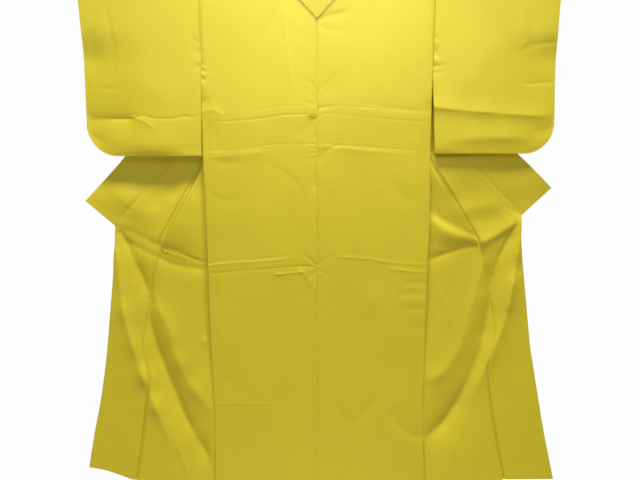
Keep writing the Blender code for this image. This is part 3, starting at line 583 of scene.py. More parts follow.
def maths(tree, operation, *values):
    """The output of a Math node on sockets or numbers."""
    return add(tree, "ShaderNodeMath", dict(enumerate(values)), operation=operation).outputs[0]


def stretched(tree, place, scale):
    return add(tree, "ShaderNodeMapping", {"Vector": place, "Scale": scale}).outputs["Vector"]


def noise(tree, place, scale, detail=2.0):
    """Noise over a place, with so many bumps a metre along each axis."""
    inputs = {"Vector": stretched(tree, place, scale), "Scale": 1.0, "Detail": detail}
    return add(tree, "ShaderNodeTexNoise", inputs).outputs["Fac"]


def two_tone(tree, share, dark, light):
    """The colour that lies so large a share of the way from dark to light."""
    colours = add(tree, "ShaderNodeValToRGB", {"Fac": share})
    for element, colour in zip(colours.color_ramp.elements, (dark, light)):
        element.color = (*colour, 1)
    return colours.outputs["Color"]


def bumped(tree, height, strength, distance):
    inputs = {"Height": height, "Strength": strength, "Distance": distance}
    return add(tree, "ShaderNodeBump", inputs).outputs["Normal"]


def new_material(name):
    """A material, with its nodes, its shader, and the place on the object."""
    made = bpy.data.materials.new(name)
    made.use_nodes = True
    tree = made.node_tree
    place = tree.nodes.new("ShaderNodeTexCoord").outputs["Object"]
    return made, tree, tree.nodes["Principled BSDF"], place


def weave_group():
    """Plain-woven silk: crossing threads, with level streaks where the weft is thicker."""
    inputs = [("Vector", "Vector"), ("Thread", "Float", 0.7 * MM), ("Streak", "Float", 0.5)]
    outputs = [("Shade", "Float"), ("Gloss", "Float"), ("Height", "Float")]
    group, given, out = new_group("silk_weave", "ShaderNodeTree", inputs, outputs)
    place = given["Vector"]
    split = add(group, "ShaderNodeSeparateXYZ", {0: place}).outputs
    turns = maths(group, "DIVIDE", 2 * math.pi, given["Thread"])
    warp, weft = (maths(group, "SINE", maths(group, "MULTIPLY", split[axis], turns)) for axis in "XY")
    long_streaks = maths(group, "MULTIPLY", noise(group, place, (9, 620, 1), 3.0), 0.6)
    short_streaks = maths(group, "MULTIPLY", noise(group, place, (45, 1100, 1)), 0.4)
    streaks = maths(group, "ADD", long_streaks, short_streaks)
    centred = maths(group, "MULTIPLY", maths(group, "SUBTRACT", streaks, 0.5), given["Streak"])
    crepe = maths(group, "SUBTRACT", noise(group, place, (900, 900, 900), 1.0), 0.5)
    shade = maths(group, "MULTIPLY_ADD", centred, 2.4, 0.5)
    raised = maths(group, "MULTIPLY", maths(group, "MULTIPLY", warp, weft), 0.25)
    fill(group, out, {
        "Shade": maths(group, "MULTIPLY_ADD", crepe, 0.25, shade),
        "Gloss": maths(group, "MULTIPLY_ADD", centred, -1.6, 0.5),
        "Height": maths(group, "MULTIPLY_ADD", streaks, 0.9, raised),
    })
    return group


def silk_material(name, dark, light, rough):
    """Silk with its weave laid over the flat cloth, and clouds of colour over the garment."""
    made, tree, shader, place = new_material(name)
    on_cloth = add(tree, "ShaderNodeUVMap", {}, uv_map="cut").outputs["UV"]
    weave = add(tree, "ShaderNodeGroup", {"Vector": on_cloth}, node_tree=silk_weave).outputs
    clouds = maths(tree, "SUBTRACT", noise(tree, place, (5, 5, 3)), 0.5)
    share = maths(tree, "MULTIPLY_ADD", clouds, 0.5, weave["Shade"])
    spread = {"Value": weave["Gloss"], "To Min": rough - 0.08, "To Max": rough + 0.08}
    fill(tree, shader, {
        "Base Color": two_tone(tree, share, dark, light),
        "Roughness": add(tree, "ShaderNodeMapRange", spread).outputs["Result"],
        "Normal": bumped(tree, weave["Height"], 0.35, 0.12 * MM),
        "Specular IOR Level": 0.85,
        "Specular Tint": (1.0, 0.95, 0.7, 1),
        "Sheen Weight": 0.04,
        "Sheen Roughness": 0.35,
        "Sheen Tint": (1.0, 0.93, 0.45, 1),
    })
    return made


silk_weave = weave_group()
silk = silk_material("silk_outside", (0.53, 0.425, 0.004), (0.64, 0.515, 0.008), 0.58)
silk_inside = silk_material("silk_inside", (0.50, 0.40, 0.004), (0.60, 0.48, 0.008), 0.62)


def sheet(mesh, cut, points, flip, closed):
    """Faces through a grid of points, its outer face on their side, with its place on the cut cloth."""
    rows, columns = points.shape[:2]
    across = np.linalg.norm(np.diff(points, axis=1), axis=2)
    down = np.linalg.norm(np.diff(points, axis=0), axis=2).mean(axis=1)
    u = np.hstack([np.zeros((rows, 1)), np.cumsum(across, axis=1)])
    v = np.concatenate([[0], np.cumsum(down)])
    v = np.append(v, v[-1] + (down.mean() if closed else 0))
    verts = [[mesh.verts.new(place) for place in row] for row in points]
    for i in range(rows if closed else rows - 1):
        after = (i + 1) % rows
        for j in range(columns - 1):
            corners = [(i, j, v[i]), (after, j, v[i + 1]), (after, j + 1, v[i + 1]), (i, j + 1, v[i])]
            if flip:
                corners.reverse()
            face = mesh.faces.new([verts[a][b] for a, b, _ in corners])
            for corner, (a, b, high) in zip(face.loops, corners):
                corner[cut].uv = (u[a, b], high)


def mesh_piece(name, mesh, *materials):
    """A new object with a mesh and materials."""
    data = bpy.data.meshes.new(name)
    mesh.to_mesh(data)
    mesh.free()
    for material in materials:
        data.materials.append(material)
    return in_scene(name, data)


def cloth(name, grids, flip, closed=False):
    """A panel and the cloth turned in at its seams, each through a grid of points, given a thin wall."""
    mesh = bmesh.new()
    cut = mesh.loops.layers.uv.new("cut")
    for points in grids:
        sheet(mesh, cut, points, flip, closed)
    for edge in mesh.edges:
        edge.smooth = not edge.is_boundary
    made = mesh_piece(name, mesh, silk, silk_inside)
    made.data.polygons.foreach_set("use_smooth", [True] * len(made.data.polygons))
    wall = made.modifiers.new("wall", "SOLIDIFY")
    wall.thickness = SILK_WALL
    wall.offset = -1
    wall.material_offset = 1
    return made


def arc_drops():
    """Drops at even steps round the quarter of the rod, without the top itself."""
    return [CLOTH_ON_ROD * (1 - math.cos(math.radians(turn))) for turn in range(12, 91, 13)]


def even_drops(start, end, step=ROW_STEP):
    return list(np.linspace(start, end, max(int((end - start) / step) + 1, 2)))


def creased_drops(start, end):
    """Drops that are closer together where sharp creases cross the cloth."""
    drops = [start]
    while drops[-1] < end - ROW_STEP:
        fine = [step for low, high, step in FINE_ROWS if low < drops[-1] < high]
        drops.append(drops[-1] + min(fine + [ROW_STEP]))
    return drops + [end]


def back_relief(side, x, drop):
    """Creases and slack of the back, in mm."""
    clear_of_collar = ramp(drop - COLLAR_POINT + COLLAR_RISES * x, 0, 6)
    loose = ramp(drop, *FREE_DROPS) * clear_of_collar * (1 - bell(x, 2.5))
    seed = BODY_SEED[side]
    return creased(BACK_CREASES[side], x, drop, seed) + slack(x, drop, seed + 3) * loose


def body_back(side):
    neck = [NECK_SCOOP * math.sin(math.radians(turn)) for turn in range(8, 91, 6)] + [NECK_SCOOP]
    drops = sorted(set(neck + arc_drops() + creased_drops(3.2, BACK_DROP)), reverse=True)
    grid = np.array([back_row(side, drop) for drop in drops])
    x, y, drop = np.moveaxis(grid, -1, 0)
    seed = BODY_SEED[side]
    edge = x[:, :1] - x
    out = back_relief(side, x, drop)
    out += (sewn_edge(x, CENTRE_SEAM_DIP) + puckers(x, drop, seed + 8)) * ramp(drop, 2, 4)
    drawn_in = (1 + DRAWN_IN[side][0] * between(drop, *DRAWN_IN_DROPS)) * ramp(drop, *FREE_DROPS)
    out += sewn_edge(edge, SIDE_SEAM_DIP) + puckers(edge, drop, seed + 11) * drawn_in
    out += sewn_edge(edge, *ARMHOLE_DIP) * between(drop, *ARMHOLE_EDGE_DROPS)
    grid[..., 1] = y - out / 10
    return grid


def front_drops():
    covered = even_drops(1.8, 6) + even_drops(7, 50, COVERED_STEP)
    return [0.0] + arc_drops() + covered + even_drops(50.6, BACK_DROP)


def panel_seam_dip(drop):
    """How deep, in mm, the cloth dips at the overlap panel's seam, which is drawn in towards the hem."""
    return PANEL_SEAM_DIP[0] + PANEL_SEAM_DIP[1] * ramp(drop, *PANEL_SEAM_DRAWN)


def body_front(side, drops):
    grid = np.array([front_row(side, drop) for drop in drops])
    x, y, drop = np.moveaxis(grid, -1, 0)
    low = lowered(side, x, drop)
    column = np.broadcast_to(np.linspace(0, BODY_SPANS, x.shape[1]), x.shape)
    shown = ramp(column, *FOLDS_BEGIN[0]) * ramp(drop, *FOLDS_BEGIN[1])
    shown = np.maximum(shown, ramp(column, BODY_SPANS - 2.5, BODY_SPANS - 1))
    out = front_relief(side, x, low) * shown
    beside_back = bell(x - x[:, :1], BEHIND_BACK_REACH) * ramp(column, 1, 2.5)
    out -= BEHIND_BACK * beside_back * between(drop, *BEHIND_BACK_DROPS)
    sewn_to_back = (1 - ramp(column, *SEWN_TO_BACK[0])) * ramp(drop, *SEWN_TO_BACK[1])
    side_edge = sewn_edge(0, SIDE_SEAM_DIP) + puckers(0, drop, BODY_SEED[side] + 11)
    out += (back_relief(side, x, drop) + side_edge) * sewn_to_back
    out += sewn_edge(x[:, -1:] - x, panel_seam_dip(drop), 0.5) * ramp(column, 11.2, 12.2)
    grid[..., 1] = y - out / 10
    grid[..., 2] = low
    return grid


def centre_allowance():
    """The two lengths' edges, turned in behind the centre seam, in the left one's own places."""
    left, right = (body_back(side)[1:, -TURNED_COLUMNS:] for side in SIDES)
    both = np.concatenate([left, right[:, ::-1] * [-1, 1, 1]], axis=1) + [0, UNDER, 0]
    return both[both[:, 0, 2] > NECK_SCOOP]


for side in SIDES:
    grids = [np.concatenate([body_back(side), body_front(side, front_drops())])]
    if side == "left":
        grids.append(centre_allowance())
    panel = cloth(f"body_cloth_{side}", [placed(side, grid) for grid in grids], flip=side == "left")
    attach(panel, "root")
    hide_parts(f"back_{side}", f"front_{side}")

# The overlap panels. Each is a half width of the silk, pointed at its top, sewn to the front's long
# edge. Above the collar's end its slanted side is sewn to the collar, and below it is the front edge.
OVERLAP_TOP = 24  # cm, where it starts, on the collar's seam
CORNER = {"left": (57.7, 68.1), "right": (58.2, 65.2)}  # the collar's end on the front edge
OVERLAP_STEPS = 40
OVERLAP_SEED = {"left": 91, "right": 92}


def overlap_row(side, drop):
    """A row across the overlap panel, from its seam to the collar or the front edge, in cm.

    The collar's seam on it is a straight line from its top to the corner.
    """
    layout = LAYOUT[side]
    inner, inner_y, outer, outer_y = layout.at(drop, "panel", "panel_y", "edge", "edge_y")
    inner += SEAM_GAP / 2
    corner_x, corner_drop = CORNER[side]
    if drop <= corner_drop:
        (top_x,) = layout.at(OVERLAP_TOP, "panel")
        outer = top_x + (corner_x - top_x) * (drop - OVERLAP_TOP) / (corner_drop - OVERLAP_TOP)
    share = np.linspace(0, 1, OVERLAP_STEPS + 1)
    return level_row(
        inner + (outer - inner) * share, inner_y + (outer_y - inner_y) * ramp(share, -0.3, 1.2), drop
    )


def overlap_drops(side):
    corner_drop = CORNER[side][1]
    return even_drops(OVERLAP_TOP + 0.6, corner_drop)[:-1] + even_drops(corner_drop, BACK_DROP)


def overlap_grid(side, drops):
    grid = np.array([overlap_row(side, drop) for drop in drops])
    x, y, drop = np.moveaxis(grid, -1, 0)
    low = lowered(side, x, drop)
    to_edge = x[:, -1:] - x
    out = front_relief(side, x, low) + sewn_edge(x - x[:, :1], panel_seam_dip(drop), 0.2)
    out += sewn_edge(to_edge) * 0.7 + puckers(to_edge, drop, OVERLAP_SEED[side])
    grid[..., 1] = y - out / 10
    grid[..., 2] = low
    return grid


def turned_in(*strips):
    """Strips of both panels beside a seam, as one, where their allowances lie behind it."""
    return np.concatenate(strips, axis=1) + [0, UNDER, 0]


for side in SIDES:
    drops = overlap_drops(side)
    grid = overlap_grid(side, drops)
    turned = turned_in(body_front(side, drops)[:-1, -TURNED_COLUMNS:], grid[:-1, :TURNED_COLUMNS])
    panel = cloth(f"overlap_cloth_{side}", [placed(side, grid), placed(side, turned)], flip=side == "left")
    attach(panel, "root")
    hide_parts(f"overlap_{side}")

# The collar. One long band, opened out to its full width, is sewn round the neck and down both
# overlap panels. It turns over outwards at the back of the neck, and its two ends are drawn out
# sideways into points.
COLLAR_WIDTH = 11
ROLL_CLEARANCE = 0.07  # between body and collar, where both turn over at the neck
COLLAR_TIP = {"left": (65.9, 2.1, 61.1), "right": (66.4, 2.1, 57.4)}  # its drawn-out corners, in cm
COLLAR_STEPS = 5
COLLAR_SEED = {"left": 71, "right": 72}
COLLAR_SHARE = np.array([0, 0.06, 0.14, 0.3, 0.53, 0.77, 1.0])  # of the way from seam to free edge
COLLAR_STANDS = np.array([0, 0.75, 1.0, 0.7, 0.3, 0.08, 0])  # of its rise there
FREE_EDGE = ("free", "free_y", "free_drop")

# How high each section of the collar rises over its seam, and where its free edge lies, by the drop of
# the seam. Over the shoulder the seam lies further forward than the front's row ends (roll_y). As in
# LAYOUT, lengths are in cm, and in mm where the name ends in y.
COLLAR_BACK = Table(
    "drop rise free free_y free_drop",
    (0, 1.0, 12.6, -6.0, -0.6),
    (0.19, 1.0, 12.2, -11.8, -0.3),
    (0.72, 1.1, 11.0, -15.4, 0.5),
    (1.45, 1.1, 9.2, -15.8, 2.0),
    (2.03, 1.1, 7.2, -15.2, 3.9),
    (2.6, 1.0, 3.9, -14.0, 7.2),
    (2.8, 0.9, 0.0, -12.9, 11.3),
)
COLLAR_FRONT = Table(
    "drop rise free free_y free_drop roll_y",
    (0, 1.0, 12.6, -6.0, -0.6, 0),
    (0.72, 1.0, 13.4, 7.0, -0.7, 0.6),
    (1.45, 0.8, 14.6, 12.0, -0.4, 2.2),
    (3, 0.5, 16.0, 19.0, 0.9, 0.3),
    (6, 0.3, 18.0, 21.0, 3.0, 0),
    (12, 0.2, 21.3, 20.5, 8.0, 0),
    (24, 0.0, 25.6, 19.0, 17.6, 0),
)

# Folds of the collar's drawn-out ends, in rows as for the back.
COLLAR_FOLDS = {
    "left": (
        (2.4, 2.6, 0.8, 2, (47, 60.8), (53, 60.4), (60, 60.8)),
        (0.4, 0.4, 0.15, -1.6, (66, 58.9), (64.9, 59.8), (61, 63.1), (57.2, 66.4), (56, 67.4)),
    ),
    "right": (
        (2.8, 3, 0.8, 2.4, (50, 56), (56, 57.6), (61, 57.8), (67, 56.6)),
    ),
}


def collar_station(seam, rise, free):
    """One section of the collar: up from its seam, over, and out to its free edge."""
    seam, free = np.array(seam), np.array(free)
    points = seam + (free - seam) * COLLAR_SHARE[:, None]
    points[:, 2] -= rise * COLLAR_STANDS
    return through(points, COLLAR_STEPS)


def beside(row, gap):
    """The place one seam gap past the end of a row, in the direction that the row ends in."""
    way = row[-1] - row[-2]
    return row[-1] + way / np.linalg.norm(way) * gap


def collar_half(side):
    """The collar from the middle of the back to its end on the front edge, and its turned seam."""
    rows = []
    for turn in range(90, 4, -4):
        drop = NECK_SCOOP * math.sin(math.radians(turn))
        up = NECK_HALF * ramp(drop, 0.0, NECK_SCOOP)
        away = np.array([up - NECK_HALF, 0, -up])
        seam = back_row(side, drop)[-1] + away / np.linalg.norm(away) * SEAM_GAP
        rise, *free = COLLAR_BACK.at(drop, "rise", *FREE_EDGE)
        rows.append(collar_station(seam, rise, free))
    for drop in [0.0] + arc_drops() + even_drops(1.8, OVERLAP_TOP):
        rise, roll, *free = COLLAR_FRONT.at(drop, "rise", "roll_y", *FREE_EDGE)
        rows.append(collar_station(beside(front_row(side, drop), ROLL_CLEARANCE) + [0, roll, 0], rise, free))
    start, end = np.array(COLLAR_FRONT.at(OVERLAP_TOP, *FREE_EDGE)), np.array(COLLAR_TIP[side])
    lower = even_drops(OVERLAP_TOP, CORNER[side][1])[1:]
    edges = overlap_grid(side, lower)
    for number, edge in enumerate(edges):
        share = (lower[number] - OVERLAP_TOP) / (lower[-1] - OVERLAP_TOP)
        rows.append(collar_station(beside(edge, SEAM_GAP), 0, start + (end - start) * share))
    grid = np.array(rows)
    x, y, drop = np.moveaxis(grid, -1, 0)
    below = ramp(np.arange(len(rows)), len(rows) - len(lower), len(rows))[:, None]
    share = np.linspace(0, 1, grid.shape[1])
    seed = COLLAR_SEED[side]
    out = slack(x, drop, seed) * ramp(share, 0, 0.3) + puckers(share * COLLAR_WIDTH, drop, seed + 4)
    out += below_sleeve(side, drop) * share + creased(COLLAR_FOLDS[side], x, drop) * ramp(share, 0, 0.35)
    grid[..., 1] = y - out * below / 10
    turned = turned_in(edges[:, -TURNED_COLUMNS:], grid[-len(lower):, : 2 * TURNED_COLUMNS])
    return placed(side, grid), placed(side, turned)


(left_half, left_turned), (right_half, right_turned) = (collar_half(side) for side in SIDES)
left_half[0, :, 0] = right_half[0, :, 0] = 0
grids = [np.concatenate([left_half[:0:-1], right_half]), left_turned[::-1], right_turned]
collar = cloth("collar_cloth", grids, flip=False)
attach(collar, "root")
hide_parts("collar")

# The sleeves. Each is one length of the silk folded over the shoulder and sewn along the bottom and
# up the outer edge as far as the cuff's opening, with a round corner. Beside the body it is sewn on
# only near the shoulder, and hangs open below.
SLEEVE = {  # how far clear of the body's side it starts, and its outer edge, in cm
    "left": Table(
        "drop clear outer", (0, 0, 65.2), (10, 0, 64.5), (20, 0, 64.0), (36, 0.05, 63.9), (48, 0.3, 63.6)
    ),
    "right": Table(
        "drop clear outer", (0, 0, 66.3), (15, 0, 65.7), (27, 0.1, 65.6), (36, 0.6, 65.8), (48, 1.3, 65.8)
    ),
}
SLEEVE_DROP = {"left": 48.5, "right": 47.8}
SLEEVE_LEVEL = 15  # from where down the rows follow the round corner
SLEEVE_CORNER = 8.3
SLEEVE_ROUND = 5.0  # over which the front layer comes to the back one at the bottom
SLEEVE_SHUT = 0.12  # half the depth where both layers lie together
BOTTOM_LEANS = 0.75  # how near the back layer's plane the bottom fold lies
CUFF_OPENING = 23
CUFF_CLOSES = (14, CUFF_OPENING)
SLEEVE_STEPS = 88
SLEEVE_SEED = {"left": 120, "right": 140}
OTHER_LAYER = 31  # cm by which the front layer's unevenness is shifted from the back's
SLEEVE_SLACK = 0.7  # of the back's
SLEEVE_DRAWN_DROPS = (12, 19, 30, 36)
OUTER_SEAM = (19, 24)  # cm of drop, between the cuff's lightly sewn edge and the seam
LIGHTLY_SEWN = 0.25  # share of the puckers there
BESIDE_EDGES = (1.5, 1.0)  # cm from the bottom and the outer edge, over which the slack begins

# Creases of the sleeves: where they were folded for storage, the edge of the turning at the cuff that
# presses through, slack above the bottom, and puckers where the seam on the body ends.
SLEEVE_CREASES = {
    "left": (
        (2, 3, 0.15, -4.2, (74, 37.8), (63.5, 38.2), (59.8, 38.3), (54.5, 38.2), (49, 38.6)),
        (0.3, 0.35, 0.15, -1.1, (70, 38.2), (59.8, 38.3), (54.5, 38.2), (50.9, 38.1), (47.8, 37.3),
         (45.2, 38.1), (40.8, 38.2), (38.6, 38), (36.8, 37.5), (34.6, 37.8), (29, 36.6)),
        (0.6, 0.8, 0.2, 1.3, (52, 37.6), (48.6, 38.6), (46.4, 39.8), (44, 41.4)),
        (3.4, 1.8, 0.6, 2.6, (60, 44.2), (52, 45.2), (42, 45.6), (34, 45.4)),
        (0.9, 0.9, 0.4, -1.7, (62.4, 42.6), (60.2, 44.3), (57.2, 45.6)),
        (0.3, 0.3, 0.1, -0.8, (38, 46.3), (34.6, 46.2), (30.6, 46)),
        (0.5, 0.4, 0.2, -1.6, (57.4, 7), (56.5, 12.8), (55.9, 17), (55.9, 21.2), (56.2, 31)),
        (0.25, 0.3, 0.1, -1.2, (55, 30), (57.3, 30), (60.8, 29.9), (66.5, 29.6)),
        (1.5, 1.5, 0.5, -2.2, (61.6, 12), (61.2, 20), (60.6, 31)),
        (0.5, 0.6, 0.2, -1.6, (30.6, 20.6), (32.6, 20.2), (35.4, 17.6)),
        (0.5, 0.6, 0.2, -1.5, (30.6, 18.4), (32.8, 17.6), (35.6, 15)),
        (0.5, 0.6, 0.2, -1.2, (30.6, 24), (32.6, 24), (35, 25)),
        (3, 3, 0.8, 2, (52, 24), (44, 31), (36, 33)),
    ),
    "right": (
        (3, 1.3, 0.15, 4.4, (26, 34.4), (32.8, 35.2), (39.2, 35.9), (48.4, 36.7), (57.6, 37.3), (72, 38)),
        (3, 1.3, 0.5, 5.2, (32, 44.2), (41.4, 43.9), (46.3, 43.5), (55.5, 43.5), (63, 44)),
        (0.4, 0.5, 0.2, -1.4, (58.1, 8), (58.3, 17.4), (58.7, 24), (58.7, 30)),
        (0.25, 0.3, 0.1, -1.2, (56.6, 28.7), (58.4, 28.6), (61.8, 28.5), (68.5, 28.2)),
        (0.4, 0.6, 0.2, -1.1, (55, 20.4), (56.5, 19.4), (60.1, 18), (70, 17.4)),
        (0.35, 0.5, 0.15, -2.6, (30.8, 20.8), (32.3, 20), (34.4, 18.4)),
        (0.35, 0.5, 0.15, -2.6, (30.8, 22.2), (32.3, 21.6), (35.4, 20)),
        (0.4, 0.6, 0.15, -2.6, (30.4, 24.2), (32.4, 24), (36.8, 23.4)),
        (0.4, 0.6, 0.15, -2.2, (30.4, 26.1), (32.4, 25.8), (37.2, 24.8)),
        (3, 3, 0.8, 2, (50, 14), (45, 24), (38, 32)),
        (1.3, 1.7, 0.4, -2, (68, 40.6), (64.4, 41), (60, 41.8)),
    ),
}


def sleeve_ring(deepest):
    """The levels round the sleeve, from the bottom up the back, over the shoulder and down the front."""
    turns = [math.radians(turn) for turn in range(84, 5, -7)]
    round_bottom = [deepest - SLEEVE_ROUND * (1 - math.cos(turn)) for turn in turns]
    levels = sorted(set(arc_drops() + creased_drops(1.8, deepest - SLEEVE_ROUND) + round_bottom))
    ring = [(-1, level) for level in reversed(levels)] + [(0, 0.0)] + [(1, level) for level in levels]
    return ring + [(0, deepest)]


def sleeve_stations(width):
    turns = [math.radians(turn) for turn in range(84, -1, -7)]
    rounded = [1 - SLEEVE_CORNER * (1 - math.cos(turn)) / width for turn in turns]
    flat = np.linspace(0, 1 - SLEEVE_CORNER / width, SLEEVE_STEPS - len(rounded))
    return np.concatenate([flat, rounded])


def sleeve_grid(side):
    table, layout, deepest = SLEEVE[side], LAYOUT[side], SLEEVE_DROP[side]
    ring = np.array(sleeve_ring(deepest), dtype=float)
    layer, level = ring[:, :1], ring[:, 1:]
    width = table.read("outer", level) - layout.read("side", level)
    station = sleeve_stations(float(width.mean()))[None, :]
    to_edge = (1 - station) * width
    into_corner = np.maximum(SLEEVE_CORNER - to_edge, 0)
    bottom = deepest - SLEEVE_CORNER + np.sqrt(np.maximum(SLEEVE_CORNER**2 - into_corner**2, 0))
    lower = SLEEVE_LEVEL + (level - SLEEVE_LEVEL) * (bottom - SLEEVE_LEVEL) / (deepest - SLEEVE_LEVEL)
    drop = np.where(level < SLEEVE_LEVEL, level, lower)
    inner = layout.read("side", drop) + table.read("clear", drop) + SEAM_GAP
    x = inner + (table.read("outer", drop) - inner) * station
    half = hang(drop)
    half = half + (SLEEVE_SHUT - half) * ramp(drop, *CUFF_CLOSES) * ramp(station, 0.45, 1)
    fold = np.sqrt(np.maximum(1 - np.maximum(1 - (bottom - drop) / SLEEVE_ROUND, 0) ** 2, 0))
    leaning = BOTTOM_LEANS * half * (1 - fold)
    half = np.maximum(half * fold, SLEEVE_SHUT)
    seed = SLEEVE_SEED[side]
    shift = np.where(layer < 0, 0, OTHER_LAYER)
    inside = ramp(bottom - drop, 0, BESIDE_EDGES[0]) * ramp(to_edge, 0, BESIDE_EDGES[1])
    pressed = creased(SLEEVE_CREASES[side], x, drop, seed) * inside
    out = SLEEVE_SLACK * slack(x + shift, drop, seed + 3) * ramp(drop, *FREE_DROPS) * inside
    sewn = np.maximum(ramp(drop, *OUTER_SEAM), LIGHTLY_SEWN) * ramp(bottom - drop, 0, 1.0)
    out = out + puckers(to_edge, drop + shift, seed + 8) * sewn
    drawn_in = DRAWN_IN[side][1] * between(drop, *SLEEVE_DRAWN_DROPS)
    out = out + puckers(x - inner, drop + shift, seed + 11) * drawn_in
    half = np.where(layer == 0, 0, np.maximum(half + out / 10, SLEEVE_SHUT))
    return np.stack([x, layer * half - leaning - pressed / 10, drop], axis=-1)


for side in SIDES:
    points = placed(side, sleeve_grid(side))
    tube = cloth(f"sleeve_cloth_{side}", [points], flip=side == "right", closed=True)
    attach(tube, "root")
    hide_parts(f"sleeve_{side}")

# The hand stitching. Small prick stitches in silk thread of the cloth's own colour hold the turned
# edges: round the sleeves from the cuff, beside the armholes, along the collar's seam and down both
# front edges.
THREAD_RADIUS = 0.3 * MM
STITCH_LENGTH = 1.9 * MM
STITCH_SPACING = 8.0 * MM
STITCH_UNEVENNESS = 0.16  # of the spacing
STITCH_LENGTHS_VARY = 0.2  # of the length
STITCH_INSET = 0.3  # cm inside the edge that is sewn
STITCH_SUNK = 0.3  # how much of its radius the thread's middle is clear of the cloth
STITCH_SEED = 5
INNER_EDGE_SEWN = (14, 47)  # cm of drop
ARMHOLE_SEWN = (18, 43)


def inset(row):
    """The place on a row of places that lies inside its end by the stitches' distance."""
    length = along(row)
    return [np.interp(length[-1] - STITCH_INSET, length, row[:, axis]) for axis in range(3)]


def sleeve_lines(side):
    """Down the sleeve's outer edge from the cuff and along its bottom, and down its inner edge."""
    grid = sleeve_grid(side)
    back = grid[: (len(grid) - 2) // 2][::-1]
    sewn = back[back[:, -1, 2] > CUFF_OPENING]
    down = [inset(row) for row in sewn[:-1]]
    level = [inset(back[:, column]) for column in range(back.shape[1] - 3, 1, -1)]
    low, high = INNER_EDGE_SEWN
    return [down[:-6] + level, [inset(row[::-1]) for row in back if low < row[0, 2] < high]]


def garment_lines(side):
    """Beside the armhole on the back, along the collar's seam and down the front edge."""
    low, high = ARMHOLE_SEWN
    armhole = [inset(row[::-1]) for row in body_back(side)[::-1] if low < row[0, 2] < high]
    panel = overlap_grid(side, overlap_drops(side))
    sewn = panel[:, 0, 2] < CORNER[side][1]
    return [armhole, [inset(row) for row in panel[sewn][2:]], [inset(row) for row in panel[~sewn]]]


def stitch_route():
    """Every line of stitching as one mesh of edges, on the cloth's outer face."""
    mesh = bmesh.new()
    for side in SIDES:
        for line in sleeve_lines(side) + garment_lines(side):
            lifted = placed(side, line) - [0, STITCH_SUNK * THREAD_RADIUS, 0]
            verts = [mesh.verts.new(place) for place in lifted]
            for pair in zip(verts, verts[1:]):
                mesh.edges.new(pair)
    return mesh_piece("hand_stitches", mesh)


def thread_material():
    """Plied silk thread, a little deeper in colour than the cloth."""
    made, tree, shader, place = new_material("silk_thread")
    plies = noise(tree, place, (2600, 2600, 1100), 1.0)
    fill(tree, shader, {
        "Base Color": two_tone(tree, plies, (0.40, 0.31, 0.006), (0.58, 0.47, 0.012)),
        "Normal": bumped(tree, plies, 0.5, 0.06 * MM),
        "Roughness": 0.38,
        "Sheen Weight": 0.1,
    })
    return made


def stitch_tree(thread):
    """Geometry nodes that set a stitch at even spaces along each line, each turned the way it runs."""
    inputs = [
        ("Lines", "Geometry"),
        ("Spacing", "Float", STITCH_SPACING),
        ("Stitch length", "Float", STITCH_LENGTH),
        ("Thread radius", "Float", THREAD_RADIUS),
        ("Unevenness", "Float", STITCH_UNEVENNESS),
        ("Seed", "Int", STITCH_SEED),
    ]
    tree, given, out = new_group("prick_stitches", "GeometryNodeTree", inputs, [("Stitches", "Geometry")])
    curve = add(tree, "GeometryNodeMeshToCurve", {"Mesh": given["Lines"]}).outputs["Curve"]
    spaced = {"Curve": curve, "Length": given["Spacing"]}
    spaced = add(tree, "GeometryNodeResampleCurve", spaced, mode="LENGTH").outputs["Curve"]

    way = add(tree, "GeometryNodeInputTangent", {}).outputs["Tangent"]
    chance = add(tree, "FunctionNodeRandomValue", {"Seed": given["Seed"]}, data_type="FLOAT")
    bounds = [socket for socket in chance.inputs if socket.enabled and socket.type == "VALUE"]
    bounds[0].default_value, bounds[1].default_value = -1, 1
    drawn = next(socket for socket in chance.outputs if socket.enabled)
    off = maths(tree, "MULTIPLY", given["Unevenness"], given["Spacing"])
    off = {0: way, "Scale": maths(tree, "MULTIPLY", drawn, off)}
    off = add(tree, "ShaderNodeVectorMath", off, operation="SCALE").outputs["Vector"]
    moved = add(tree, "GeometryNodeSetPosition", {"Geometry": spaced, "Offset": off})

    bead = add(tree, "GeometryNodeMeshUVSphere", {"Segments": 8, "Rings": 5, "Radius": 1.0})
    half_length = maths(tree, "MULTIPLY", given["Stitch length"], 0.5)
    longer = maths(tree, "MULTIPLY_ADD", drawn, STITCH_LENGTHS_VARY, 1.0)
    size = {axis: given["Thread radius"] for axis in "XY"}
    size["Z"] = maths(tree, "MULTIPLY", half_length, longer)
    turned = add(tree, "FunctionNodeAlignRotationToVector", {"Vector": way}, axis="Z")
    set_in = add(tree, "GeometryNodeInstanceOnPoints", {
        "Points": moved.outputs["Geometry"],
        "Instance": bead.outputs["Mesh"],
        "Rotation": turned.outputs["Rotation"],
        "Scale": add(tree, "ShaderNodeCombineXYZ", size).outputs["Vector"],
    })
    real = add(tree, "GeometryNodeRealizeInstances", {"Geometry": set_in.outputs["Instances"]})
    finish = {"Geometry": real.outputs["Geometry"], "Material": thread}
    finish = add(tree, "GeometryNodeSetMaterial", finish).outputs["Geometry"]
    fill(tree, out, {"Stitches": finish})
    return tree


def evaluated_mesh(made):
    """A mesh of what an object's curve or modifiers come to."""
    return bpy.data.meshes.new_from_object(made.evaluated_get(bpy.context.evaluated_depsgraph_get()))


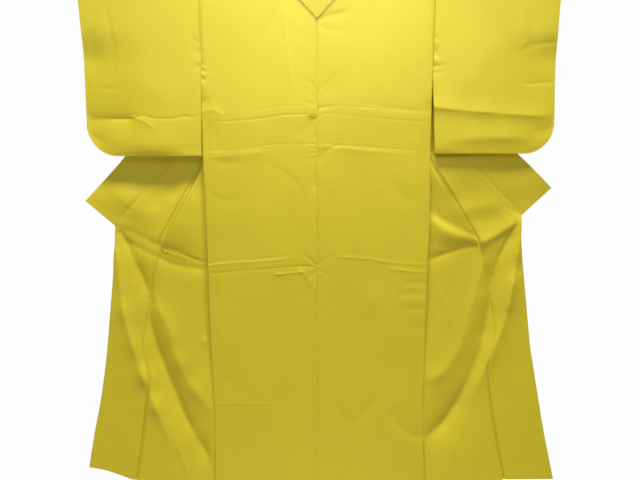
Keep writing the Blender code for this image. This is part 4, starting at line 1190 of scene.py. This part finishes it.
stitches = stitch_route()
silk_thread = thread_material()
setting = stitches.modifiers.new("stitches", "NODES")
setting.node_group = stitch_tree(silk_thread)
for socket in setting.node_group.interface.items_tree:
    if socket.in_out == "INPUT" and socket.socket_type != "NodeSocketGeometry":
        setting[socket.identifier] = socket.default_value
stitches_data = evaluated_mesh(stitches)
stitches.modifiers.remove(setting)
stitches.data = stitches_data
stitches_data.shade_smooth()
stitches_data.materials.clear()
stitches_data.materials.append(silk_thread)
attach(stitches, "root")

# The rod. It is a turned bar of pale wood with rounded ends, satin lacquered, that runs through both
# sleeves and holds the shoulders out level.
ROD_LENGTH = rod_high.x - rod_low.x
ROD_ROUNDING = 3 * MM
ROD_SIDES = 64
ROD_SHARP = 50  # degrees between faces whose edge stays sharp
ROD_WOOD = ((0.44, 0.27, 0.125), (0.66, 0.46, 0.25))
WELD = 0.01 * MM


def wood_material():
    """Straight grain along the rod, with fine pores and a thin lacquer."""
    made, tree, shader, place = new_material("pale_wood")
    growth = noise(tree, place, (1.6, 55, 55), 3.0)
    pores = noise(tree, place, (14, 900, 900))
    rings = maths(tree, "SINE", maths(tree, "MULTIPLY", growth, 38.0))
    grain = maths(tree, "MULTIPLY_ADD", rings, 0.16, maths(tree, "MULTIPLY_ADD", pores, 0.7, 0.15))
    fill(tree, shader, {
        "Base Color": two_tone(tree, grain, *ROD_WOOD),
        "Normal": bumped(tree, pores, 0.3, 0.1 * MM),
        "Roughness": 0.42,
        "Coat Weight": 0.25,
        "Coat Roughness": 0.2,
    })
    return made


def turned_rod():
    """The rod's outline from the middle of one end to the middle of the other, turned round X."""
    arc = [math.radians(turn) for turn in range(0, 91, 15)]
    flat = ROD_RADIUS - ROD_ROUNDING
    end = [(ROD_ROUNDING * (1 - math.sin(turn)), flat + ROD_ROUNDING * math.cos(turn)) for turn in arc]
    end = [(0, 0), (0, flat * 0.5)] + end[::-1]
    outline = end + [(ROD_LENGTH - x, radius) for x, radius in reversed(end)]
    mesh = bmesh.new()
    line = [mesh.verts.new((rod_low.x + x, 0, radius)) for x, radius in outline]
    edges = [mesh.edges.new(pair) for pair in zip(line, line[1:])]
    bmesh.ops.spin(
        mesh, geom=line + edges, cent=(0, 0, 0), axis=(1, 0, 0), angle=math.tau, steps=ROD_SIDES,
        use_merge=True,
    )
    bmesh.ops.remove_doubles(mesh, verts=mesh.verts, dist=WELD)
    bmesh.ops.recalc_face_normals(mesh, faces=mesh.faces)
    bmesh.ops.translate(mesh, verts=mesh.verts, vec=(0, 0, ROD_Z))
    made = mesh_piece("rod_turned", mesh, wood_material())
    made.data.shade_smooth()
    made.data.set_sharp_from_angle(angle=math.radians(ROD_SHARP))
    return made


rod = turned_rod()
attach(rod, "root")
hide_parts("rod")

# The hook. It is a question mark of plated wire: its stem stands on the middle of the rod, and the
# inside of its crown bears on the peg that it hangs on.
HOOK_WIRE = 2.5 * MM
HOOK_RADIUS = 18 * MM  # inside the crown
HOOK_NECK = 10 * MM  # the straight stem's length over the point where the crown begins
HOOK_FOOT_GAP = 0.3 * MM  # above the rod
HOOK_STEM = 8 * MM
HOOK_TIP = (1 * MM, 5 * MM)  # out and down from the crown's end
HOOK_TURN = (-112, -360, -13)  # degrees round the crown
HOOK_SHARP = 40  # degrees
HOOK_METAL = ((0.50, 0.50, 0.48), (0.70, 0.70, 0.67))


def hook_line():
    """The middle of the wire, in X and Z, from the rod up the stem and round the crown."""
    wire_radius = HOOK_RADIUS + HOOK_WIRE
    foot = rod_high.z + HOOK_FOOT_GAP
    line = [(0, foot), (0, foot + HOOK_STEM), (0, -HOOK_RADIUS - wire_radius - HOOK_NECK)]
    for degrees in range(*HOOK_TURN):
        turn = math.radians(degrees)
        line.append((wire_radius * math.cos(turn), -HOOK_RADIUS + wire_radius * math.sin(turn)))
    return line + [(wire_radius + HOOK_TIP[0], -HOOK_RADIUS - HOOK_TIP[1])]


def steel_material():
    """Plated wire, drawn lengthways, a little dulled by handling."""
    made, tree, shader, place = new_material("plated_wire")
    smudges = noise(tree, place, (90, 90, 90), 3.0)
    scratches = maths(tree, "MULTIPLY_ADD", noise(tree, place, (900, 900, 60)), 0.12, 0.12)
    fill(tree, shader, {
        "Base Color": two_tone(tree, smudges, *HOOK_METAL),
        "Roughness": maths(tree, "MULTIPLY_ADD", smudges, 0.2, scratches),
        "Metallic": 1.0,
    })
    return made


def bent_wire():
    route = through(hook_line(), 4)
    curve = bpy.data.curves.new("hook_route", "CURVE")
    curve.dimensions = "3D"
    curve.bevel_depth = HOOK_WIRE
    curve.bevel_resolution = 6
    curve.use_fill_caps = True
    line = curve.splines.new("POLY")
    line.points.add(len(route) - 1)
    for point, (x, z) in zip(line.points, route):
        point.co = (x, 0, z, 1)
    shaped = in_scene("hook_route", curve)
    solid = evaluated_mesh(shaped)
    bpy.data.objects.remove(shaped)
    mesh = bmesh.new()
    mesh.from_mesh(solid)
    bmesh.ops.remove_doubles(mesh, verts=mesh.verts, dist=WELD)
    made = mesh_piece("hook_wire", mesh, steel_material())
    made.data.shade_smooth()
    made.data.set_sharp_from_angle(angle=math.radians(HOOK_SHARP))
    return made


hook = bent_wire()
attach(hook, "root")
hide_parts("hook")

# The studio. A long ceiling light stands steeply over the front of the kimono and draws its folds. A
# softbox before the shoulders gives the silk its gloss there, weaker ones lift its middle and its hem,
# and one stands behind. The backdrop is white, the room much dimmer, and a pale floor fades out.
LIGHTS = {
    "ceiling": ((0.15, -1.35, 3.6), (0, 0, -0.9), (2.2, 0.7), 335, 180, True),
    "softbox": ((0.05, -1.6, 0.35), (0, 0, 0.0), (0.9, 0.4), 1.75, 50, True),
    "fill": ((0, -1.9, -1.75), (0, 0, -1.5), (1.6, 0.4), 2.4, 110, False),
    "middle": ((0, -2.2, -0.75), (0, 0, -0.62), (1.6, 0.4), 0.6, 70, False),
    "rear": ((0, 1.35, 3.2), (0, 0, -0.9), (2.2, 0.7), 220, 180, True),
}  # place, aim, size in metres, power in watts, spread in degrees, and whether it gives a gloss
FLOOR_Z = -2.0
FLOOR_RADIUS = 0.98
FLOOR_FADES = (0.3, FLOOR_RADIUS - 0.03)
FLOOR_PALE = (0.80, 0.80, 0.79, 1)
BACKDROP_WHITE = (0.98, 0.982, 0.985, 1)
ROOM_WHITE = (1.0, 1.0, 0.98, 1)
ROOM_LIGHT = 0.32

for name, (spot, aim, size, power, spread, gloss) in LIGHTS.items():
    light_data = bpy.data.lights.new(name, "AREA")
    light_data.shape = "RECTANGLE"
    light_data.size, light_data.size_y = size
    light_data.energy = power
    light_data.spread = math.radians(spread)
    light = in_scene(name, light_data)
    light.location = spot
    light.visible_camera = False
    light.visible_glossy = gloss
    light.rotation_euler = (mathutils.Vector(aim) - light.location).to_track_quat("-Z", "Y").to_euler()

pale, tree, shader, place = new_material("pale_floor")
fill(tree, shader, {"Base Color": FLOOR_PALE, "Roughness": 0.9})
flat_place = stretched(tree, place, (1, 1, 0))
from_middle = add(tree, "ShaderNodeVectorMath", {0: flat_place}, operation="LENGTH").outputs["Value"]
fading = {"Value": from_middle, "From Min": FLOOR_FADES[0], "From Max": FLOOR_FADES[1]}
fading = add(tree, "ShaderNodeMapRange", fading, interpolation_type="SMOOTHSTEP").outputs["Result"]
gone = add(tree, "ShaderNodeBsdfTransparent", {}).outputs[0]
faded = add(tree, "ShaderNodeMixShader", {0: fading, 1: shader.outputs[0], 2: gone}).outputs[0]
fill(tree, tree.nodes["Material Output"], {"Surface": faded})

floor_mesh = bmesh.new()
bmesh.ops.create_circle(floor_mesh, cap_ends=True, radius=FLOOR_RADIUS, segments=96)
bmesh.ops.translate(floor_mesh, verts=floor_mesh.verts, vec=(0, 0, FLOOR_Z))
mesh_piece("floor", floor_mesh, pale)

world = bpy.data.worlds.new("studio")
bpy.context.scene.world = world
world.use_nodes = True
tree = world.node_tree
room = fill(tree, tree.nodes["Background"], {"Color": ROOM_WHITE, "Strength": ROOM_LIGHT}).outputs[0]
backdrop = add(tree, "ShaderNodeBackground", {"Color": BACKDROP_WHITE}).outputs[0]
by_camera = add(tree, "ShaderNodeLightPath", {}).outputs["Is Camera Ray"]
seen = add(tree, "ShaderNodeMixShader", {0: by_camera, 1: room, 2: backdrop}).outputs[0]
fill(tree, tree.nodes["World Output"], {"Surface": seen})
bpy.context.scene.view_settings.view_transform = "Standard"
